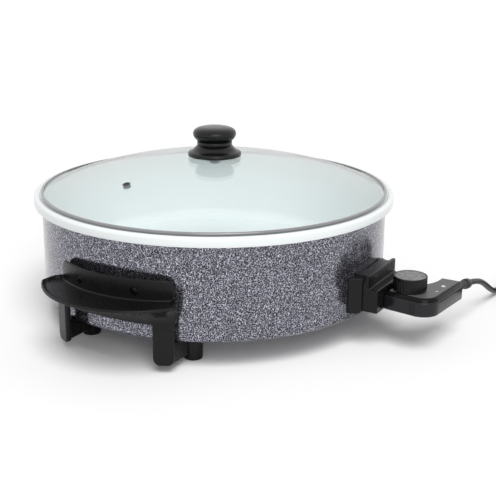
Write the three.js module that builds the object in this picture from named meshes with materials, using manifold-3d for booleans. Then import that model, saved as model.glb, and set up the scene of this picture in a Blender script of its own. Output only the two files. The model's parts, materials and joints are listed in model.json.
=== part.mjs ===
// Electric skillet: a deep round pan in a hammered shell, with a domed glass lid, two moulded
// handles that run down into legs and feet, a side inlet and a plug-in thermostat probe.
// Millimetres, +Z up, table at zero. The handles lie along X and the inlet faces -Y.

import * as THREE from "three";
import { mergeVertices } from "three/addons/utils/BufferGeometryUtils.js";
import Module from "manifold-3d";

const wasm = await Module();
wasm.setup();

// Fits and resolution
const gap = 0.3;
const holeClearance = 0.4;
const overrun = 5;
const roundSides = 46;
const innerSides = 28;
const knobSides = 24;
const smallSides = 12;
const tinySides = 8;
const filletSteps = 3;

// Heights above the table
const rimTop = 146;
const bodyBottom = 32;

// Pan: ceramic-coated bowl with a rolled rim
const rimRadius = 212;
const rimHeight = 9.5;
const rimLip = 3;
const rimTopRound = 3;
const rimUnderRound = 1;
const panMouthRadius = 198;
const panFootRadius = 190;
const panMouthRound = 1.6;
const panDepth = 88;
const panCorner = 14;
const panWall = 1.6;

// Shell: hammered band with an inturned bottom lip
const shellRadius = 203;
const shellCorner = 8;
const shellWall = 1.2;
const shellLipRadius = 150;

// Base plate and its hub
const basePlateOverlap = 7;
const basePlateThickness = 1.2;
const baseHubRadius = 8;

// Heat shield under the element
const shieldRadius = 150;
const shieldThickness = 0.8;
const shieldRimHeight = 5;
const shieldDrop = 11;

// Center stud and nut
const studHeadRadius = 9;
const studHeadHeight = 2;
const studShoulderRadius = 5.5;
const studRadius = 3;
const studTail = 5;
const nutRadius = 5.5;
const nutHeight = 4.5;

// Heating element and its clips
const elementRingRadius = 118;
const elementTubeRadius = 3.7;
const elementBend = 14;
const elementEndRadius = 199;
const elementSteps = 44;
const elementSides = 6;
const terminalSpacing = 24;
const clipCount = 3;
const clipWidth = 10;
const clipThickness = 1;
const clipFoot = 6;

// Terminal pins and their insulators
const pinRadius = 2.3;
const pinReach = 25;
const insulatorRadius = 5;
const insulatorCollar = 6.5;
const insulatorCollarThickness = 2;
const insulatorInset = 3.6;

// Sensor pocket
const pocketRadius = 4.2;
const pocketWall = 0.7;
const sensorDrop = 0.8;
const pocketInnerReach = 128;
const pocketOuterReach = 208;

// Handle: grip tray
const trayArcRadius = 101;
const trayArcCenter = 161;
const trayHalfWidth = 83.5;
const trayEndRound = 12;
const trayTop = 80;
const trayDish = 2.8;
const trayWall = 3;
const lipWidth = 5;
const lipRound = 1.4;
const lipDrop = 2.6;
const apronBottom = 54;
const apronMiddleReach = 219;
const apronArcRadius = 278;
const apronEndRise = 16;
const trayEndWall = 9;
const trayEndNear = 169;
const trayEndFar = 209;
const trayEndTaper = 19;

// Handle: heat guard
const guardArcRadius = 130;
const guardArcCenter = 88;
const guardThickness = 2.6;
const guardHalfWidth = 73;
const guardTop = 100;
const guardCorner = 11;

// Handle: legs and feet
const legWidth = 23;
const legThickness = 6.5;
const legCorner = 2.6;
const legTurn = THREE.MathUtils.degToRad(28);
const legReach = 204.5;
const legSpread = 65.3;
const legBottom = 8.5;
const legFootRound = 8;
const braceWidth = 9;
const braceBottom = 9;
const braceHeight = 22;
const footRadius = 10.5;
const footReach = 155;
const footSpread = 69;
const footRound = 2;
const handleBodyGap = 0.5;

// Handle: bosses and screws
const bossRadius = 5.5;
const bossSpread = 35;
const bossHeight = 87;
const screwRadius = 2;
const screwHeadRadius = 4;
const screwHeadHeight = 2.2;
const screwTail = 4;
const footScrewRecess = 14;

// Inlet bracket
const inletHalfWidth = 38;
const inletReach = 230;
const inletLedge = 69;
const inletBottom = 43;
const inletTop = 84;
const inletHoodReach = 219;
const inletHoodPlate = 4.5;
const inletHoodBackDrop = 1.5;
const inletHoodBackCorner = 7;
const inletWingBottom = 39.5;
const inletWingTop = 80;
const inletWingCorner = 4;
const inletWingHalfWidth = 47;
const inletWingPlan = [[190, 51.8], [209.8, 37.5]];
const inletGrooveFar = 212.3;
const inletGrooveDepth = 1.2;
const inletWall = 3;
const socketHalfWidth = 20;
const socketBottom = 46.2;
const socketTop = 61;
const socketFloorReach = 212;
const inletScrewSpread = 31;
const inletScrewHeight = 75;
const inletScrewReach = 214;
const inletHoodHollowHalfWidth = 25;

// Lid
const bandRadius = 204.2;
const bandInnerRadius = 196.4;
const bandHeight = 4.9;
const bandSheet = 0.7;
const glassThickness = 2.9;
const glassShoulderRadius = 195.5;
const lidCrown = 185.5;
const domeSteps = 4;
const ventRadius = 4;
const ventFlange = 4.8;
const ventBoreRadius = 2.4;
const ventFlangeThickness = 0.8;
const ventGap = 0.5;
const ventReachX = -122;
const ventReachY = 38.7;

// Knob
const knobSkirtRadius = 31.5;
const knobSkirtEdge = 1.5;
const knobNeckRadius = 20.4;
const knobBeadRadius = 21;
const knobBeadLow = 12;
const knobBeadHigh = 20.5;
const knobGrooveRadius = 18.6;
const knobCapRadius = 25.5;
const knobCapCrown = 34.5;
const knobCapWidest = 26.5;
const knobSeat = 0.5;
const knobScrewRadius = 2.9;
const knobScrewHeadRadius = 5.5;
const knobScrewHeadHeight = 3.2;
const knobScrewLength = 30;
const knobWasherRadius = 11;
const knobWasherThickness = 1.6;
const knobSealRadius = 9;
const knobSealThickness = 1.2;

// Probe housing
const probeFaceGap = 0.4;
const probeHalfWidth = 19;
const probeFlare = 5.5;
const probeElbowLength = 38.1;
const probeElbowRound = 20;
const probeArmEnd = 59;
const probeArmWidth = 28;
const probeArmSpread = 5.5;
const probeEndRound = 5;
const probeBottom = 43;
const probeTop = 64;
const probeSeam = 59.7;
const probeWall = 2.2;
const probeBevel = 3.2;

// Probe nose and contacts
const noseFrontGap = 1;
const noseHalfWidth = 19;
const noseSeat = 7.6;
const noseBottom = 46.7;
const noseTop = 59.2;
const sleeveWall = 0.9;
const sleeveFrontInset = 1;
const sleeveBackInset = 2;
const rodRadius = 3;
const rodTip = 132;
const rodTail = 8;

// Thermostat inside the probe
const dialFrontGap = 2.9;
const dialRadius = 18.7;
const dialHeight = 16.3;
const dialFlutes = 22;
const dialFluteDepth = 0.5;
const dialRim = 1.8;
const dialFaceThickness = 0.8;
const shaftRadius = 3;
const shaftFoot = 50;
const shaftSocket = 10;
const camRadius = 8;
const camThickness = 2.5;
const frameThickness = 2.5;
const frameLength = 24;
const frameWidth = 26;
const bladeThickness = 0.8;
const bladeWidth = 6;
const bladeLength = 24;
const lampRadius = 2.6;
const lampAlong = 29;
const lampDome = 0.9;
const probeScrewHeadRadius = 2.6;
const probeScrewRadius = 1.5;
const probeScrewInset = 15;

// Strain relief
const reliefExitHeight = 52.5;
const reliefDirection = new THREE.Vector3(0.1, 0.985, -0.14).normalize();
const reliefNeckRadius = 4.2;
const reliefAnchorRadius = 5.4;
const reliefAnchorThickness = 2;
const reliefAnchorGap = 2.5;
const reliefRootRadius = 5.4;
const reliefRingRadius = 6.1;
const reliefTipRadius = 4.4;
const reliefLength = 50;
const reliefRingStart = 36;
const reliefRingLength = 9;
const reliefRibs = 3;
const reliefRibDepth = 0.7;

// Cord: 7 mm lead, put away in a two-layer coil
const cordRadius = 3.5;
const cordSides = 8;
const coilCenterX = 240;
const coilCenterY = -337.5;
const coilRadius = 47.5;
const coilPitch = 7.6;
const coilTurnsPerLayer = 2.5;
const coilBase = 4.9;
const coilSides = 6;
const coilStepsPerTurn = 24;
const tieWidth = 8;
const tieThickness = 0.8;
const tieAngle = THREE.MathUtils.degToRad(38);

// Plug
const plugRadius = 18;
const plugFaceLength = 12;
const plugBodyLength = 38;
const plugNeckRadius = 6.5;
const plugNeckLength = 14;
const plugPinRadius = 2.4;
const plugPinLength = 19;
const plugPinSpacing = 19;
const plugPinSocket = 8;

// Materials
function finish(color, roughness, metalness, extra = {}) {
  return new THREE.MeshStandardMaterial({ color, roughness, metalness, ...extra });
}
const hammered = finish(0x55575c, 0.35, 0.5);
const ceramic = finish(0xe4efee, 0.25, 0);
const steel = finish(0xc8cbce, 0.25, 1);
const aluminium = finish(0xb9bcc0, 0.45, 1);
const bakelite = finish(0x17171a, 0.35, 0);
const glossBlack = finish(0x0d0d10, 0.12, 0);
const greyFace = finish(0x5b5c60, 0.5, 0);
const glass = finish(0xdff2ef, 0.03, 0, { transparent: true, opacity: 0.3 });
const silicone = finish(0xdcdcd8, 0.6, 0);
const brass = finish(0xb8964a, 0.35, 1);
const porcelain = finish(0xe8e4d8, 0.4, 0);
const lampClear = finish(0xd8d6d0, 0.2, 0);
const cordBlack = finish(0x1b1b1d, 0.55, 0);

// Solids and meshes

function signedVolume(position, index) {
  const a = new THREE.Vector3();
  const b = new THREE.Vector3();
  const c = new THREE.Vector3();
  let sum = 0;
  for (let i = 0; i < index.length; i += 3) {
    a.fromBufferAttribute(position, index[i]);
    b.fromBufferAttribute(position, index[i + 1]);
    c.fromBufferAttribute(position, index[i + 2]);
    sum += a.dot(b.cross(c));
  }
  return sum;
}

// Welds a closed three.js geometry, drops the slivers at a lathe's poles and turns it outward
function solidOf(geometry) {
  const bare = new THREE.BufferGeometry();
  bare.setAttribute("position", geometry.getAttribute("position"));
  if (geometry.index) {
    bare.setIndex(geometry.index);
  }
  const welded = mergeVertices(bare);
  const corners = [];
  const source = welded.index.array;
  for (let i = 0; i < source.length; i += 3) {
    const [a, b, c] = [source[i], source[i + 1], source[i + 2]];
    if (a !== b && b !== c && c !== a) {
      corners.push(a, b, c);
    }
  }
  if (signedVolume(welded.attributes.position, corners) < 0) {
    corners.reverse();
  }
  return new wasm.Manifold(new wasm.Mesh({
    numProp: 3,
    vertProperties: Float32Array.from(welded.attributes.position.array),
    triVerts: Uint32Array.from(corners),
  }));
}

function meshOf(name, solid, material) {
  const data = solid.getMesh();
  const geometry = new THREE.BufferGeometry();
  geometry.setAttribute("position", new THREE.BufferAttribute(data.vertProperties, 3));
  geometry.setIndex(new THREE.BufferAttribute(data.triVerts, 1));
  geometry.computeVertexNormals();
  const mesh = new THREE.Mesh(geometry, material);
  mesh.name = name;
  return mesh;
}

// A profile of [radius, height] points, turned about the vertical axis
function turned(profile, sides = roundSides) {
  const points = profile.map(([radius, height]) => new THREE.Vector2(radius, height));
  const geometry = new THREE.LatheGeometry(points, sides);
  geometry.rotateX(Math.PI / 2);
  return solidOf(geometry);
}

function closedLoop(profile) {
  return [...profile, profile[0]];
}

function arcPoints(x, y, radius, from, to, steps = filletSteps) {
  const points = [];
  for (let i = 0; i <= steps; i += 1) {
    const angle = THREE.MathUtils.degToRad(from + (to - from) * i / steps);
    points.push([x + radius * Math.cos(angle), y + radius * Math.sin(angle)]);
  }
  return points;
}

function shapeOf(points) {
  return new THREE.Shape(points.map(([x, y]) => new THREE.Vector2(x, y)));
}

function prism(shape, low, high, curveSegments = filletSteps) {
  const options = { depth: high - low, bevelEnabled: false, curveSegments };
  const geometry = new THREE.ExtrudeGeometry(shape, options);
  geometry.translate(0, 0, low);
  return solidOf(geometry);
}

// Extrudes an outline drawn in (tangential, height) along the radial X axis
function radialPrism(shape, near, far, curveSegments = filletSteps) {
  const options = { depth: far - near, bevelEnabled: false, curveSegments };
  const geometry = new THREE.ExtrudeGeometry(shape, options);
  geometry.translate(0, 0, near);
  const toRadial = new THREE.Matrix4().makeBasis(
    new THREE.Vector3(0, 1, 0), new THREE.Vector3(0, 0, 1), new THREE.Vector3(1, 0, 0));
  geometry.applyMatrix4(toRadial);
  return solidOf(geometry);
}

function roundedRect(left, low, right, high, radius) {
  return shapeOf([
    ...arcPoints(right - radius, low + radius, radius, -90, 0),
    ...arcPoints(right - radius, high - radius, radius, 0, 90),
    ...arcPoints(left + radius, high - radius, radius, 90, 180),
    ...arcPoints(left + radius, low + radius, radius, 180, 270),
  ]);
}

function block(x0, x1, y0, y1, z0, z1) {
  const geometry = new THREE.BoxGeometry(x1 - x0, y1 - y0, z1 - z0);
  geometry.translate((x0 + x1) / 2, (y0 + y1) / 2, (z0 + z1) / 2);
  return solidOf(geometry);
}

function post(radius, low, high, x = 0, y = 0, sides = smallSides) {
  const geometry = new THREE.CylinderGeometry(radius, radius, high - low, sides);
  geometry.rotateX(Math.PI / 2);
  geometry.translate(x, y, (low + high) / 2);
  return solidOf(geometry);
}

// A round bar along the radial X axis
function bar(radius, near, far, y, z, sides = smallSides) {
  const geometry = new THREE.CylinderGeometry(radius, radius, far - near, sides);
  geometry.rotateZ(-Math.PI / 2);
  geometry.translate((near + far) / 2, y, z);
  return solidOf(geometry);
}

function sweep(curve, radius, sides, steps) {
  const circle = shapeOf(arcPoints(0, 0, radius, 0, 360 * (sides - 1) / sides, sides - 1));
  const geometry = new THREE.ExtrudeGeometry(circle, { extrudePath: curve, steps, bevelEnabled: false });
  return solidOf(geometry);
}

function unite(first, ...rest) {
  return rest.reduce((sum, next) => sum.add(next), first);
}

function cut(first, ...rest) {
  return rest.reduce((sum, next) => sum.subtract(next), first);
}

function ringArea(flat) {
  return THREE.ShapeUtils.area(flat);
}

// Triangles that close a planar ring, wound as the ring is
function capTriangles(ring, flatten) {
  const flat = ring.map(flatten);
  const turn = Math.sign(ringArea(flat));
  return THREE.ShapeUtils.triangulateShape(flat, []).map(([a, b, c]) => {
    const same = Math.sign(ringArea([flat[a], flat[b], flat[c]])) === turn;
    return same ? [a, b, c] : [a, c, b];
  });
}

// A closed solid through rings of equal point counts
function loft(rings, flatten) {
  const count = rings[0].length;
  const position = rings.flat().flatMap((point) => [point.x, point.y, point.z]);
  const index = [];
  for (let i = 0; i + 1 < rings.length; i += 1) {
    for (let j = 0; j < count; j += 1) {
      const a = i * count + j;
      const b = i * count + (j + 1) % count;
      index.push(a, b, b + count, a, b + count, a + count);
    }
  }
  const last = (rings.length - 1) * count;
  for (const [a, b, c] of capTriangles(rings[0], flatten)) {
    index.push(c, b, a);
  }
  for (const [a, b, c] of capTriangles(rings[rings.length - 1], flatten)) {
    index.push(last + a, last + b, last + c);
  }
  const geometry = new THREE.BufferGeometry();
  geometry.setAttribute("position", new THREE.Float32BufferAttribute(position, 3));
  geometry.setIndex(index);
  return solidOf(geometry);
}

const flattenAcross = (point) => new THREE.Vector2(point.x, point.z);
const flattenPlan = (point) => new THREE.Vector2(point.x, point.y);

function mix(from, to, share) {
  return from + (to - from) * share;
}

// Heights that follow from the sizes above

const panFloor = rimTop - panDepth;
const panFloorUnder = panFloor - panWall;
const lipUnder = rimTop - rimLip;
const shellTop = lipUnder - gap;
const elementHeight = panFloorUnder - gap - elementTubeRadius;
const sensorHeight = elementHeight - sensorDrop;
const shellFloorTop = bodyBottom + shellWall;
const basePlateBottom = shellFloorTop + gap;
const basePlateTop = basePlateBottom + basePlateThickness;
const shieldBottom = panFloorUnder - gap - elementTubeRadius - shieldDrop;
const shieldTop = shieldBottom + shieldThickness;
const glassLow = rimTop + gap + bandSheet + gap;
const glassHigh = glassLow + glassThickness;
const bandLow = rimTop + gap;
const bandTop = bandLow + bandHeight;

// Pan and shell

function makeInnerPan() {
  const wallTop = lipUnder - panMouthRound;
  const cornerRadius = panFootRadius - panCorner;
  const outerCorner = panCorner + panWall;
  const hemRadius = rimRadius - rimLip;
  const profile = [
    [0, panFloor],
    ...arcPoints(cornerRadius, panFloor + panCorner, panCorner, -90, 0),
    ...arcPoints(panMouthRadius + panMouthRound, rimTop - panMouthRound, panMouthRound, 180, 90, 2),
    ...arcPoints(rimRadius - rimTopRound, rimTop - rimTopRound, rimTopRound, 90, 0),
    [rimRadius, rimTop - rimHeight + rimUnderRound],
    [rimRadius - rimUnderRound, rimTop - rimHeight],
    [hemRadius, rimTop - rimHeight],
    [hemRadius, lipUnder],
    [panMouthRadius + panWall + panMouthRound, lipUnder],
    [panMouthRadius + panWall, wallTop],
    ...arcPoints(cornerRadius, panFloor + panCorner, outerCorner, 0, -90, 2),
    [0, panFloorUnder],
  ];
  return turned(profile);
}

function makeOuterShell() {
  const cornerRadius = shellRadius - shellCorner;
  const cornerHeight = bodyBottom + shellCorner;
  const ring = turned(closedLoop([
    [shellRadius, shellTop],
    ...arcPoints(cornerRadius, cornerHeight, shellCorner, 0, -90),
    [shellLipRadius, bodyBottom],
    [shellLipRadius, shellFloorTop],
    ...arcPoints(cornerRadius, cornerHeight, shellCorner - shellWall, -90, 0, 2),
    [shellRadius - shellWall, shellTop],
  ]));
  const near = shellRadius - overrun;
  const far = shellRadius + overrun;
  const inletHoles = [-1, 1].map((side) =>
    bar(insulatorRadius + holeClearance, near, far, side * terminalSpacing / 2, elementHeight));
  inletHoles.push(bar(pocketRadius + holeClearance, near, far, 0, sensorHeight));
  for (const side of [-1, 1]) {
    inletHoles.push(bar(
      screwRadius + holeClearance, near - overrun, far, side * inletScrewSpread, inletScrewHeight, tinySides));
  }
  const inletTool = unite(...inletHoles).rotate([0, 0, -90]);
  const handleTools = handleScrewPlaces.map(({ y, z }) =>
    bar(screwRadius + holeClearance, near - overrun, far, y, z, tinySides));
  const footTools = footPlaces.map(({ x, y }) =>
    post(screwRadius + holeClearance, bodyBottom - overrun, shellFloorTop + overrun, x, y, tinySides));
  const sideTool = unite(...handleTools, ...footTools);
  return cut(ring, inletTool, sideTool, sideTool.rotate([0, 0, 180]));
}

function makeBasePlate() {
  const rim = shellLipRadius + basePlateOverlap;
  const hubTop = shieldBottom - gap;
  const bore = studRadius + holeClearance;
  return turned(closedLoop([
    [bore, basePlateBottom],
    [rim, basePlateBottom],
    [rim, basePlateTop],
    [baseHubRadius, basePlateTop],
    [baseHubRadius, hubTop],
    [bore, hubTop],
  ]), innerSides);
}

function makeHeatShield() {
  const bore = studRadius + holeClearance;
  return turned(closedLoop([
    [bore, shieldBottom],
    [shieldRadius, shieldBottom],
    [shieldRadius + shieldRimHeight, shieldBottom + shieldRimHeight],
    [shieldRadius + shieldRimHeight - shieldThickness, shieldBottom + shieldRimHeight],
    [shieldRadius - shieldThickness / 2, shieldTop],
    [bore, shieldTop],
  ]), innerSides);
}

function makeCenterStud() {
  const top = panFloorUnder - gap;
  return turned([
    [0, basePlateBottom - gap - nutHeight - studTail],
    [studRadius, basePlateBottom - gap - nutHeight - studTail],
    [studRadius, shieldTop + gap],
    [studShoulderRadius, shieldTop + gap],
    [studShoulderRadius, top - studHeadHeight],
    [studHeadRadius, top - studHeadHeight],
    [studHeadRadius, top],
    [0, top],
  ], smallSides);
}

function makeCenterNut() {
  const top = basePlateBottom - gap;
  const nut = post(nutRadius, top - nutHeight, top, 0, 0, 6);
  return cut(nut, post(studRadius + gap, top - nutHeight - overrun, top + overrun));
}

// Heating element, in the inlet's frame: X points out through the inlet

class ElementPath extends THREE.Curve {
  constructor() {
    super();
    const side = terminalSpacing / 2;
    const bendY = side + elementBend;
    const bendX = Math.sqrt((elementRingRadius + elementBend) ** 2 - bendY ** 2);
    this.bend = Math.atan2(bendY, bendX);
    this.corner = [bendX, bendY];
    this.side = side;
    this.straight = elementEndRadius - bendX;
    this.curl = elementBend * (Math.PI / 2 + -this.bend);
    this.half = elementRingRadius * (Math.PI - this.bend);
  }

  // Half of the path, measured back from the end at +Y
  placeFromEnd(distance) {
    if (distance <= this.straight) {
      return [elementEndRadius - distance, this.side];
    }
    if (distance <= this.straight + this.curl) {
      const angle = -Math.PI / 2 - (distance - this.straight) / elementBend;
      return [this.corner[0] + elementBend * Math.cos(angle), this.corner[1] + elementBend * Math.sin(angle)];
    }
    const angle = this.bend + (distance - this.straight - this.curl) / elementRingRadius;
    return [elementRingRadius * Math.cos(angle), elementRingRadius * Math.sin(angle)];
  }

  getPoint(share, target = new THREE.Vector3()) {
    const total = this.straight + this.curl + this.half;
    const along = share * 2 * total;
    const [x, y] = this.placeFromEnd(Math.min(along, 2 * total - along));
    return target.set(x, along <= total ? y : -y, elementHeight);
  }
}

function makeHeatingElement() {
  return sweep(new ElementPath(), elementTubeRadius, elementSides, elementSteps);
}

function makeElementClip() {
  const inner = elementTubeRadius + 2 * gap;
  const outer = inner + clipThickness;
  const top = panFloorUnder - gap;
  const low = elementHeight - inner;
  const strap = shapeOf([
    [outer, top - clipThickness],
    [outer + clipFoot, top - clipThickness],
    [outer + clipFoot, top],
    [inner, top],
    [inner, low],
    [-inner, low],
    [-inner, top],
    [-outer - clipFoot, top],
    [-outer - clipFoot, top - clipThickness],
    [-outer, top - clipThickness],
    [-outer, low - clipThickness],
    [outer, low - clipThickness],
  ]);
  const geometry = new THREE.ExtrudeGeometry(strap, { depth: clipWidth, bevelEnabled: false });
  geometry.translate(0, 0, -clipWidth / 2);
  geometry.rotateX(Math.PI / 2);
  geometry.translate(elementRingRadius, 0, 0);
  return solidOf(geometry);
}

function makeTerminalPin(side) {
  return bar(
    pinRadius, elementEndRadius + gap, elementEndRadius + pinReach, side * terminalSpacing / 2,
    elementHeight, tinySides);
}

function makeTerminalInsulator(side) {
  const y = side * terminalSpacing / 2;
  const near = shellRadius - shellWall - insulatorInset;
  const body = bar(insulatorRadius, near + insulatorCollarThickness / 2, inletInner, y, elementHeight)
    .intersect(post(inletInner - gap, bodyBottom, rimTop, 0, 0, 2 * roundSides));
  const collar = bar(insulatorCollar, near, near + insulatorCollarThickness, y, elementHeight);
  const bore = bar(
    pinRadius + gap, elementEndRadius + gap / 2, inletInner + overrun, y, elementHeight, tinySides);
  const elementRoom = bar(
    elementTubeRadius + gap, near - overrun, elementEndRadius + gap, y, elementHeight, tinySides);
  return cut(unite(body, collar), bore, elementRoom);
}

function makeSensorPocket() {
  const tube = bar(pocketRadius, pocketInnerReach, pocketOuterReach, 0, sensorHeight);
  const bore = bar(
    pocketRadius - pocketWall, pocketInnerReach + 2 * pocketWall, pocketOuterReach + overrun, 0, sensorHeight);
  return cut(tube, bore);
}

// Handles, in a frame where X points outward from the pan

const handleScrewPlaces = [-1, 1].map((side) => ({ y: side * bossSpread, z: bossHeight }));
const footPlaces = [-1, 1].map((side) => ({ x: footReach, y: side * footSpread }));
const inletInner = shellRadius + handleBodyGap;

function bodyTool(extra = handleBodyGap) {
  return post(shellRadius + extra, bodyBottom - gap, rimTop + overrun, 0, 0, 2 * roundSides);
}

function trayLip(y) {
  const offset = Math.abs(y);
  const filletY = trayHalfWidth - trayEndRound;
  const filletX = trayArcCenter + Math.sqrt((trayArcRadius - trayEndRound) ** 2 - filletY ** 2);
  const tangentY = filletY * trayArcRadius / (trayArcRadius - trayEndRound);
  if (offset <= tangentY) {
    return trayArcCenter + Math.sqrt(trayArcRadius ** 2 - offset ** 2);
  }
  return filletX + Math.sqrt(Math.max(trayEndRound ** 2 - (offset - filletY) ** 2, 0));
}

function guardInner(y) {
  return guardArcCenter + Math.sqrt((guardArcRadius - guardThickness) ** 2 - y ** 2);
}

const legOuterX = legReach + legThickness / 2 * Math.cos(legTurn);
const legOuterY = legSpread + legThickness / 2 * Math.sin(legTurn);

function apronReach(y) {
  const onArc = apronMiddleReach - apronArcRadius + Math.sqrt(apronArcRadius ** 2 - y ** 2);
  const onLeg = legOuterX - (Math.abs(y) - legOuterY) * Math.tan(legTurn);
  return Math.min(onArc, onLeg);
}

function apronLow(y) {
  const legEdge = legSpread + legWidth / 2 * Math.cos(legTurn);
  const share = THREE.MathUtils.clamp((Math.abs(y) - legEdge) / (trayHalfWidth - legEdge), 0, 1);
  return apronBottom + apronEndRise * share;
}

const dishShares = [0.35];
const apronShares = [0.3];
const apronHeightShares = [0.6];
const trayRoomShare = 0.35;

function traySection(y, hollow) {
  const inner = guardInner(y);
  const lip = trayLip(y);
  const foot = apronReach(y);
  const low = apronLow(y);
  const floor = trayTop - trayDish;
  const lipBottom = trayTop - lipDrop;
  const outline = [
    [inner, trayTop - lipRound],
    ...dishShares.map((share) => [mix(inner, lip, share), floor]),
    [lip - lipWidth, floor + trayDish / 3],
    [lip - lipWidth / 2, trayTop],
    [lip, trayTop - lipRound],
    [lip, lipBottom],
    ...apronShares.map((share, i) => [mix(foot, lip, share), mix(low, lipBottom, apronHeightShares[i])]),
    [foot, low],
  ];
  if (hollow) {
    const inside = apronShares.map((share, i) =>
      [mix(foot, lip, share) - trayWall, mix(low, lipBottom, apronHeightShares[i]) + trayWall / 2]);
    outline.push(
      [foot - trayWall, low],
      ...inside.reverse(),
      [mix(mix(foot, lip, apronShares[0]), lip, trayRoomShare), floor - trayWall],
      [inner, floor - trayWall]);
  } else {
    outline.push([inner, low]);
  }
  return outline.map(([x, z]) => new THREE.Vector3(x, y, z));
}

const trayStationShares = [0, 0.24, 0.46, 0.65, 0.81, 0.92, 1];
const trayEndShares = [0, 0.5, 0.8, 1];

function makeTray() {
  const halfStations = trayStationShares.map((share) => share * (trayHalfWidth - trayEndWall / 2));
  const stations = [...halfStations.slice(1).reverse().map((y) => -y), ...halfStations];
  const grip = loft(stations.map((y) => traySection(y, true)), flattenAcross);
  const ends = [-1, 1].map((side) => {
    const inside = trayHalfWidth - trayEndWall;
    const stationsThere = trayEndShares.map((share) => mix(inside, trayHalfWidth, share));
    const ordered = side > 0 ? stationsThere : [...stationsThere].reverse();
    return loft(ordered.map((y) => traySection(side * y, false)), flattenAcross);
  });
  const endTools = [1, -1].map((side) =>
    prism(shapeOf([
      [trayEndNear, side * (trayHalfWidth - trayEndTaper)],
      [trayEndFar, side * trayHalfWidth],
      [trayEndFar, side * (trayHalfWidth + overrun)],
      [trayEndNear, side * (trayHalfWidth + overrun)],
    ]), apronBottom - overrun, trayTop + overrun));
  return cut(unite(grip, ...ends), ...endTools);
}

function makeGuard() {
  const spread = Math.asin(guardHalfWidth / guardArcRadius) * 180 / Math.PI + 3;
  const guardSteps = 8;
  const band = shapeOf([
    ...arcPoints(guardArcCenter, 0, guardArcRadius, -spread, spread, guardSteps),
    ...arcPoints(guardArcCenter, 0, guardArcRadius - guardThickness, spread, -spread, guardSteps),
  ]);
  const low = trayTop - trayDish - 2 * trayWall;
  const face = roundedRect(-guardHalfWidth, low - 2 * guardCorner, guardHalfWidth, guardTop, guardCorner);
  const wall = prism(band, low, guardTop);
  const front = radialPrism(face, guardArcCenter, guardArcCenter + guardArcRadius + overrun);
  return wall.intersect(front);
}

function makeLeg(side) {
  const legTop = trayTop - trayDish - trayWall / 2;
  const column = prism(
    roundedRect(-legThickness / 2, -legWidth / 2, legThickness / 2, legWidth / 2, legCorner),
    legBottom, legTop, 2);
  const leg = column.intersect(radialPrism(
    roundedRect(-legWidth / 2, legBottom, legWidth / 2, legTop + 2 * legFootRound, legFootRound),
    -legThickness, legThickness, 2));
  const brace = prism(
    roundedRect(footReach, -braceWidth / 2, legReach, braceWidth / 2, legCorner),
    braceBottom, braceBottom + braceHeight, 2);
  const footTop = bodyBottom - gap;
  const foot = turned([
    [0, 0],
    [footRadius - footRound, 0],
    [footRadius, footRound],
    [footRadius, footTop],
    [0, footTop],
  ], smallSides + smallSides / 2);
  const y = side * footSpread;
  const bore = post(screwRadius + holeClearance, -overrun, footTop + overrun, footReach, y, tinySides);
  const recess = post(screwHeadRadius + holeClearance, -overrun, footScrewRecess, footReach, y);
  const turn = THREE.MathUtils.radToDeg(side * legTurn);
  return cut(
    unite(
      leg.rotate([0, 0, turn]).translate([legReach, side * legSpread, 0]),
      brace.translate([0, side * (footSpread + legSpread) / 2, 0]),
      foot.translate([footReach, y, 0])),
    bore, recess);
}

function makeHandle() {
  const bosses = handleScrewPlaces.map(({ y, z }) => bar(bossRadius, shellRadius - bossSpread, guardInner(y) + 1, y, z));
  const bores = handleScrewPlaces.map(({ y, z }) =>
    bar(screwRadius + holeClearance, shellRadius - bossSpread, trayArcCenter + trayArcRadius, y, z, tinySides));
  const seats = handleScrewPlaces.map(({ y, z }) =>
    bar(screwHeadRadius + holeClearance, screwSeat(y), trayArcCenter + trayArcRadius, y, z));
  return cut(unite(makeTray(), makeGuard(), makeLeg(-1), makeLeg(1), ...bosses), bodyTool(), ...bores, ...seats);
}

// The screw heads sit in recesses that reach half through the guard
function screwSeat(y) {
  return guardInner(Math.abs(y) + bossRadius) + guardThickness / 2;
}

function makeHandleScrew({ y, z }) {
  const seat = screwSeat(y) + gap;
  const tip = Math.sqrt((shellRadius - shellWall - screwTail) ** 2 - y ** 2);
  return unite(
    bar(screwRadius, tip, seat + screwHeadHeight / 2, y, z, tinySides),
    bar(screwHeadRadius, seat, seat + screwHeadHeight, y, z));
}

function makeFootScrew({ x, y }) {
  const seat = footScrewRecess - gap;
  return unite(
    post(screwRadius, seat - screwHeadHeight / 2, shellFloorTop + screwTail, x, y, tinySides),
    post(screwHeadRadius, seat - screwHeadHeight, seat, x, y));
}

// Inlet bracket, in a frame where X points outward

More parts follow.
